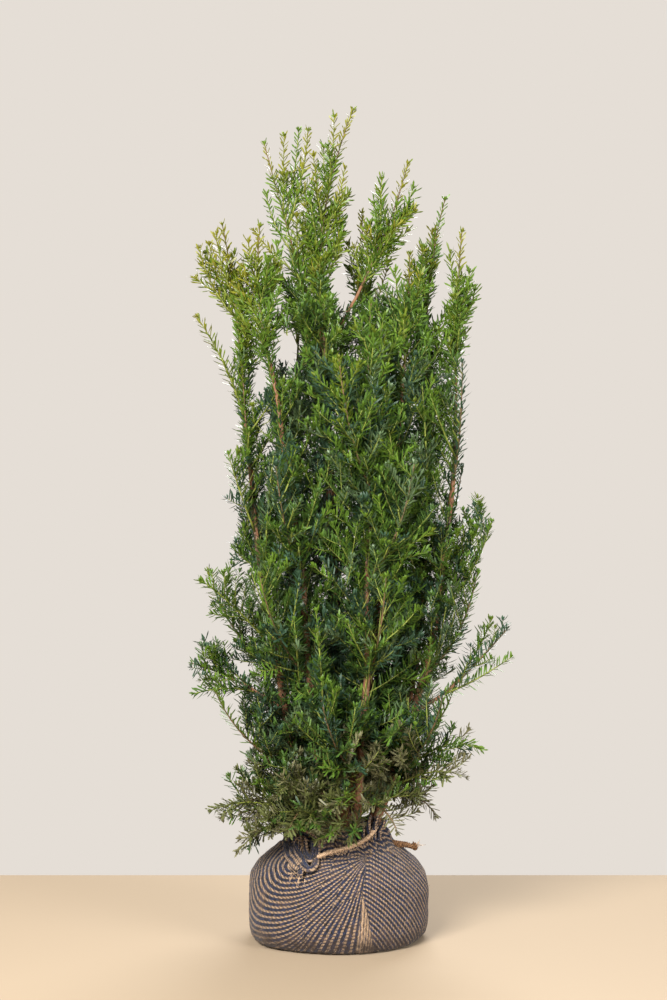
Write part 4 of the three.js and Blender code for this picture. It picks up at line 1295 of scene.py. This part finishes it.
for number, mass in enumerate(masses):
    grow_mass(number, mass)
for number, (name, height, bend, tip) in enumerate(OUTER_SPRAYS):
    spray = one_shoot(at_height(limbs[name][0], height), bend, tip)
    shoots["twig"].append(spray)
    count = int(spray[3][0] / 9)
    shoots["side"].append(side_shoots("spray", spray, count, 1300 + 8 * number))
for number, name in enumerate(STEMS):
    grow_inner(number, limbs[name][0])
for number, (name, height, bend, tip) in enumerate(YOUNG_STEMS):
    young = one_shoot(at_height(limbs[name][0], height), bend, tip)
    shoots["young"].append(young)
    shoots["side"].append(side_shoots("young", young, 24, 1800 + 8 * number, 0.0))
for name in STEMS:
    curve = limbs[name][0]
    low = way_at_height(curve, LEAFY_FROM)
    bend = 2 * curve((low + 1) / 2) - (curve(low) + curve(1.0)) / 2
    shoots["stem"].append(one_shoot(curve(low), bend, curve(1.0)))
shoots = {kind: [np.concatenate(column) for column in zip(*parts)] for kind, parts in shoots.items()}
for kind in ("erect", "twig", "side", "inner"):
    start, bend, tip, length = shoots[kind]
    keep = ~against_sky(tip) & ~against_sky(on_curve(start, bend, tip, 0.5))
    shoots[kind] = [column[keep] for column in shoots[kind]]


def twig_tubes(name, start, bend, tip, thick, thin, material, sides, steps):
    """All twigs of a kind as one piece: sections carried along quadratic curves, thinner towards the tips."""
    t = np.linspace(0, 1, steps)
    arc = start[:, None], bend[:, None], tip[:, None], t[None, :]
    line, tangent = on_curve(*arc), heading_on(*arc)
    across = sideways(tangent)
    deep = np.cross(across, tangent)
    size = (thick[:, None] + (thin - thick)[:, None] * t)[..., None, None]
    turn = (np.arange(sides) * 2 * math.pi / sides)[:, None]
    ring = line[:, :, None] + size * (np.cos(turn) * across[:, :, None] + np.sin(turn) * deep[:, :, None])
    fan = np.array([[0, k + 1, k] for k in range(1, sides - 1)])
    ends = np.concatenate([fan, fan[:, ::-1] + sides * (steps - 1)])
    faces = many(len(start), sides * steps, grid_faces(steps, sides, True), ends)
    return new_piece(name, ring, *faces, material)


def twig_material(name, young, old):
    """Twig skin: streaks of two colours along the shoot."""
    streaked = {"Light": to_linear(young), "Shade": to_linear(old), "Scale": 160, "Stretch": (1, 1, 0.3)}
    return streaked_material(name, 0.6, 0.4, streaked, 0.5, 0.0006)


brown_skin = twig_material("twig_brown", (106, 80, 54), (78, 70, 40))
green_skin = twig_material("twig_green", (128, 136, 54), (98, 106, 40))
# The pieces: kinds of shoot, radius at the foot, how much longer makes it 1 mm thicker, radius at the tip,
# skin, sides and rings
TWIG_PIECES = {
    "twigs_leading": (["lead"], 2.3, math.inf, 0.8, brown_skin, 6, 12),
    "twigs_young": (["young"], 2.4, math.inf, 0.9, green_skin, 7, 14),
    "twigs_spiral": (["twig", "erect"], 1.0, 110, 0.6, green_skin, 4, 6),
    "twigs_fine": (["side", "inner"], 0.75, 160, 0.45, green_skin, 3, 4),
}
for name, (kinds, thick, longer, thin, skin, sides, rings) in TWIG_PIECES.items():
    start, bend, tip, length = (np.concatenate(columns) for columns in zip(*(shoots[kind] for kind in kinds)))
    twigs = twig_tubes(name, start, bend, tip, thick + length / longer, thin, skin, sides, rings)
    stands_in(twigs, "bark")

# The needles. They sit in a close spiral along every shoot, or in two ranks on the lower, flatter sprays,
# and crowd round the buds at the tips. Each is a thin keeled blade. They are joined into pieces by colour.
SPRAY_NEEDLE = 20.5
ERECT_NEEDLE = 20.0
# From one needle to the next along each kind of shoot
NEEDLE_PITCH = {"erect": 2.3, "lead": 2.3, "twig": 2.3, "side": 2.3, "inner": 2.6, "young": 3.2, "stem": 2.4}
NEEDLE_WIDTH = 3.4
BUD_NEEDLES = 7
FLAT_LEAN, ROUND_LEAN = 60, 50  # how far needles lean off a flat and off a round shoot, in degrees
LEAN_SPREAD = 24
LONG_SHOOT = 115.0
FLAT_BELOW = 900.0  # most sprays below this height are flat
FLAT_SHARE = 0.75
MOST_NEEDLES = 20000  # in one piece
# Stretches of bark that show between the sprays: the stem, and from what height to what height
BARE_STRETCHES = (
    ("front", 186, 292), ("front", 395, 436), ("front", 492, 560), ("left", 412, 446), ("left", 730, 765),
    ("right", 385, 425), ("leader", 935, 995),
)
# Plain needle colours. The pale one stands partly for the needles' paler undersides and partly for a painted
# sheen.
NEEDLE_TINTS = {
    "gold": (112, 112, 32),
    "lime": (92, 106, 28),
    "fresh": (84, 110, 32),
    "grass": (78, 106, 35),
    "leaf": (66, 93, 38),
    "deep": (40, 61, 30),
    "shade": (22, 35, 20),
    "blue": (50, 74, 54),
    "pale": (84, 104, 70),
    "olive": (86, 91, 50),
    "dusty": (98, 96, 66),
}
LADDER = ["shade", "deep", "leaf", "grass", "fresh", "lime", "gold"]  # from the darkest to the yellowest
NEEDLES = [f"foliage_{mass['name']}" for mass in masses]


def needles_on(start, bend, tip, length, seed, erect, flat, pitch):
    """Base, direction, facing, size, place along the shoot and shoot of every needle.

    Needle k of n stands at t = (k + 1/2) / n, turned by the golden angle, or to the left and right in turn on
    a flat spray. It leans away from the shoot, less near the bud. On long erect shoots they shorten over the
    last ninety millimetres, and on sprays just before the tip. The last few crowd round the bud.
    """
    number = np.maximum(5, (length / pitch).astype(int))
    each = number + BUD_NEEDLES
    shoot = np.repeat(np.arange(len(start)), each)
    k = np.arange(len(shoot)) - np.repeat(np.cumsum(each) - each, each)
    bud = k >= number[shoot]
    t = np.where(bud, 0.995, (k + 0.5) / number[shoot])
    arc = start[shoot], bend[shoot], tip[shoot], t
    way = heading_on(*arc)
    length, erect, flat = length[shoot], erect[shoot], flat[shoot]
    luck = [chance(shoot, k, seed + s) for s in range(6)]
    roll = 1.9 * (chance(shoot, 0 * k, seed + 6) - 0.5)
    ranked = math.pi * (k % 2) + 0.3 * (1 - 2 * (k % 2)) + roll + 1.3 * (luck[0] - 0.5)
    turn = np.where(flat & ~bud, ranked, GOLDEN_TURN * k + 5 * roll)
    near_tip = np.clip((t - 0.82) / 0.18, 0, 1)
    lean = np.where(flat, FLAT_LEAN, ROUND_LEAN) - 4 * erect + LEAN_SPREAD * (luck[1] - 0.5) - 16 * near_tip
    lean = np.where(bud, 12 + 52 * luck[1], lean)
    full = SPRAY_NEEDLE + (ERECT_NEEDLE - SPRAY_NEEDLE) * erect
    last_part = (length > LONG_SHOOT) * np.clip((90 - (1 - t) * length) / 60, 0, 1)
    thinning = 1 - erect * 0.32 * last_part - (1 - erect) * 0.35 * near_tip
    size = full * (0.8 + 0.32 * luck[2]) * np.where(bud, 0.42, thinning) * np.clip(0.55 + 3 * t, 0, 1)
    level = np.where(flat, 1.0, 0.35)[:, None]
    facing = way * (1 - 0.8 * level) + np.array([0, 0, 1.0]) * level
    facing = facing + (0.5 + 1.4 * erect[:, None]) * (np.stack(luck[3:6], axis=1) - 0.5)
    return on_curve(*arc), leaving(way, turn, np.radians(lean)), facing, size, t, shoot


# A blade's corners: share of its length, then share of its width to the side and towards its facing side
BLADE_CORNERS = (
    (0.0, 0.26, 0.0), (0.0, -0.26, 0.0), (0.78, 0.5, 0.1), (0.78, -0.5, 0.1), (1.0, 0.0, 0.3),
    (0.45, 0.0, -0.24),
)
BLADE_FACES = ((0, 3, 1), (0, 2, 3), (2, 4, 3), (0, 1, 5), (1, 3, 5), (3, 4, 5), (4, 2, 5), (2, 0, 5))


def needle_blades(name, base, direction, facing, size, material):
    """Needles as one piece. A blade is flat above, with nearly straight edges that meet in a point, and has a
    keel below."""
    facing = facing - np.sum(facing * direction, axis=1, keepdims=True) * direction
    facing /= np.linalg.norm(facing, axis=1, keepdims=True) + 1e-9
    across = np.cross(direction, facing)
    width = NEEDLE_WIDTH * (0.6 + 0.4 * size / SPRAY_NEEDLE)
    along, side, rise = (column[None, :, None] for column in np.array(BLADE_CORNERS).T)
    size, width = size[:, None, None], width[:, None, None]
    points = base[:, None] + direction[:, None] * (along * size) + across[:, None] * (side * width)
    points = points + facing[:, None] * (rise * width)
    return new_piece(name, points, *many(len(base), len(BLADE_CORNERS), (), BLADE_FACES), material, False)


def needle_material(name, colour):
    """A waxy needle of one plain colour."""
    material, _, shader = new_material("needle_" + name, 0.38, 0.33)
    shader.inputs["Base Color"].default_value = to_linear(colour)
    return material


def tint_of(tip, length, t, shoot, erect, seed):
    """The colour of each needle. Shoots are yellower the higher they are, above all at the top and in the
    left plume, and each is yellower towards its tip, but for its bud. Shoots further in are darker, which is
    painted shade. Some shoots are bluish, and some of those pale, which is partly the paler undersides and
    partly a painted sheen. Most of the lowest are dull and dusty."""
    names = list(NEEDLE_TINTS)
    i = np.arange(len(tip))
    luck, other = chance(i, 0 * i, seed), chance(i, 0 * i, seed + 1)
    z = tip[:, 2]
    r = np.hypot(tip[:, 0], tip[:, 1])
    reach = crown_reach(np.minimum(z, 1045), np.arctan2(tip[:, 1], tip[:, 0]))
    # How far in a shoot stands: the further in, the darker its tint, as painted shade.
    inside = np.clip(1 - r / np.maximum(60, reach), 0, 1) * (z < 1080)
    age_and_painted_shade = 0.42 + 0.2 * np.clip((z - 200) / 1100, 0, 1) + 0.34 * (luck - 0.5) - 0.4 * inside
    age_and_painted_shade += (0.07 + 0.13 * (tip[:, 0] < -135)) * np.clip((z - 960) / 120, 0, 1)
    golden = erect[shoot] * ((z > 1090) & (luck > 0.2) & (length > LONG_SHOOT))[shoot]
    from_tip = (1 - t) * length[shoot]
    ripe = np.clip((80 - from_tip) / 40, 0, 1) * (t < 0.99)
    youth_and_painted_shade = age_and_painted_shade[shoot] + 0.24 * (t - 0.55) + 0.36 * golden * ripe
    youth_and_painted_shade += 0.1 * (chance(shoot, np.arange(len(shoot)), seed + 3) - 0.5)
    step = np.clip((youth_and_painted_shade * len(LADDER)).astype(int), 0, len(LADDER) - 1)
    tint = np.array([names.index(n) for n in LADDER])[step]
    # Bluish shoots; the pale ones among them are partly the paler undersides and partly a painted sheen.
    bluish = (chance(i, 0 * i, seed + 2) < 0.32) & (z < 960) & (z > 250)
    cold = np.where(other < 0.7, names.index("blue"), names.index("pale"))
    tint = np.where(bluish[shoot], cold[shoot], tint)
    dusty = (z < 250 + 120 * luck) & (other < 0.7)
    worn = np.where(luck < 0.5, names.index("olive"), names.index("dusty"))
    return np.where(dusty[shoot], worn[shoot], tint)


def hides_bark(base):
    """Whether needles stand in front of a stretch of bark that shows: within a stem's width of it."""
    hides = np.zeros(len(base), bool)
    x, y, z = base.T
    way = np.linspace(0, 1, 200)
    for name, low, high in BARE_STRETCHES:
        curve, radius = limbs[name]
        line = curve(way)
        centre, depth, half = (np.interp(z, line[:, 2], v) for v in (line[:, 0], line[:, 1], radius(way)))
        hides |= (z > low) & (z < high) & (y < depth) & (np.abs(x - centre) < half + 3)
    return hides


def straightness(kind, tip):
    """From 0 for a spread spray to 1 for an upright shoot at the top, by the kind of shoot and its height."""
    high = np.clip((tip[:, 2] - 1060) / 60, 0, 1)
    return {"erect": 0 * high + 1, "lead": high}.get(kind, 0 * high)


batches = []
for number, (kind, (start, bend, tip, length)) in enumerate(shoots.items()):
    flattish = chance(np.arange(len(tip)), 0, 60 + number) < FLAT_SHARE
    flat = (tip[:, 2] < FLAT_BELOW) & flattish & (kind != "erect")
    upright = straightness(kind, tip)
    seed = 2000 + 20 * number
    base, direction, facing, size, t, shoot = needles_on(
        start, bend, tip, length, seed, upright, flat, NEEDLE_PITCH[kind]
    )
    tint = tint_of(tip, length, t, shoot, upright, 2500 + 20 * number)
    keep = ~hides_bark(base) & ~against_sky(base)
    batches.append([column[keep] for column in (base, direction, facing, size, tint)])
*blades, tint = (np.concatenate(column) for column in zip(*batches))
for number, (name, colour) in enumerate(NEEDLE_TINTS.items()):
    material = needle_material(name, colour)
    chosen = np.flatnonzero(tint == number)
    for part, some in enumerate(np.array_split(chosen, 1 + len(chosen) // MOST_NEEDLES)):
        columns = [column[some] for column in blades]
        stands_in(needle_blades(f"needles_{name}_{part + 1}", *columns, material), "foliage", *NEEDLES)

# The floor and the light: a plain pale table top against a pale room. Three large soft lights light it, from
# the front left, the front right and behind.
FLOOR_BACK = 0.48  # the table's back edge, behind the ball's middle, in metres
FLOOR_FRONT = -1.3
FLOOR_HALF = 1.6
FLOOR_COLOUR = to_linear((164, 146, 123))
ROOM_COLOUR = to_linear((229, 222, 214))
ROOM_LIGHT = 0.4  # the room lights the plant less than it shows behind it

left_front, right_back = (-FLOOR_HALF, FLOOR_FRONT, 0), (FLOOR_HALF, FLOOR_BACK, 0)
right_front, left_back = (FLOOR_HALF, FLOOR_FRONT, 0), (-FLOOR_HALF, FLOOR_BACK, 0)
corners = np.array([left_front, right_front, right_back, left_back]) / MM
floor_finish, _, floor_shader = new_material("floor_finish", 0.75, 0.3)
floor_shader.inputs["Base Color"].default_value = FLOOR_COLOUR
floor = new_piece("floor", corners, [[0, 1, 2, 3]], (), floor_finish, False)

world = bpy.data.worlds.new("pale_room")
bpy.context.scene.world = world
world.use_nodes = True
nodes, links = world.node_tree.nodes, world.node_tree.links
shown, lighting = nodes["Background"], nodes.new("ShaderNodeBackground")
shown.inputs["Color"].default_value = ROOM_COLOUR
lighting.inputs["Color"].default_value = ROOM_COLOUR
lighting.inputs["Strength"].default_value = ROOM_LIGHT
choice = nodes.new("ShaderNodeMixShader")
links.new(nodes.new("ShaderNodeLightPath").outputs["Is Camera Ray"], choice.inputs[0])
links.new(lighting.outputs[0], choice.inputs[1])
links.new(shown.outputs[0], choice.inputs[2])
links.new(choice.outputs[0], nodes["World Output"].inputs["Surface"])


def soft_light(name, place, aim, size, power, colour):
    """A square area light at a place, turned to face its aim."""
    light = bpy.data.lights.new(name, "AREA")
    light.shape = "SQUARE"
    light.size = size
    light.energy = power
    light.color = colour
    lamp = bpy.data.objects.new(name, light)
    bpy.context.collection.objects.link(lamp)
    back = unit(np.array(place, float) - np.array(aim, float))
    lamp.location = place
    lamp.rotation_euler = (math.acos(back[2]), 0, math.atan2(back[0], -back[1]))


soft_light("key_light", (-1.3, -2.7, 2.15), (0, 0, 0.6), 1.5, 262, (1.0, 0.98, 0.95))
soft_light("fill_light", (2.4, -2.2, 1.3), (0, 0, 0.5), 1.6, 108, (0.97, 0.98, 1.0))
soft_light("back_light", (0.5, 2.1, 2.3), (0, 0, 0.7), 1.6, 95, (1.0, 1.0, 1.0))

# The camera stands three metres in front of the ball, level, at the middle of the picture's height.
LENS = 65.45
SENSOR = 36.0
camera_data = bpy.data.cameras.new("camera")
camera_data.lens = LENS
camera_data.sensor_width = SENSOR
camera_data.clip_end = 50
camera = bpy.data.objects.new("camera", camera_data)
bpy.context.collection.objects.link(camera)
camera.location = np.array(EYE) * MM
camera.rotation_euler = (math.pi / 2, 0, 0)
bpy.context.scene.camera = camera
bpy.context.scene.view_settings.view_transform = "Standard"
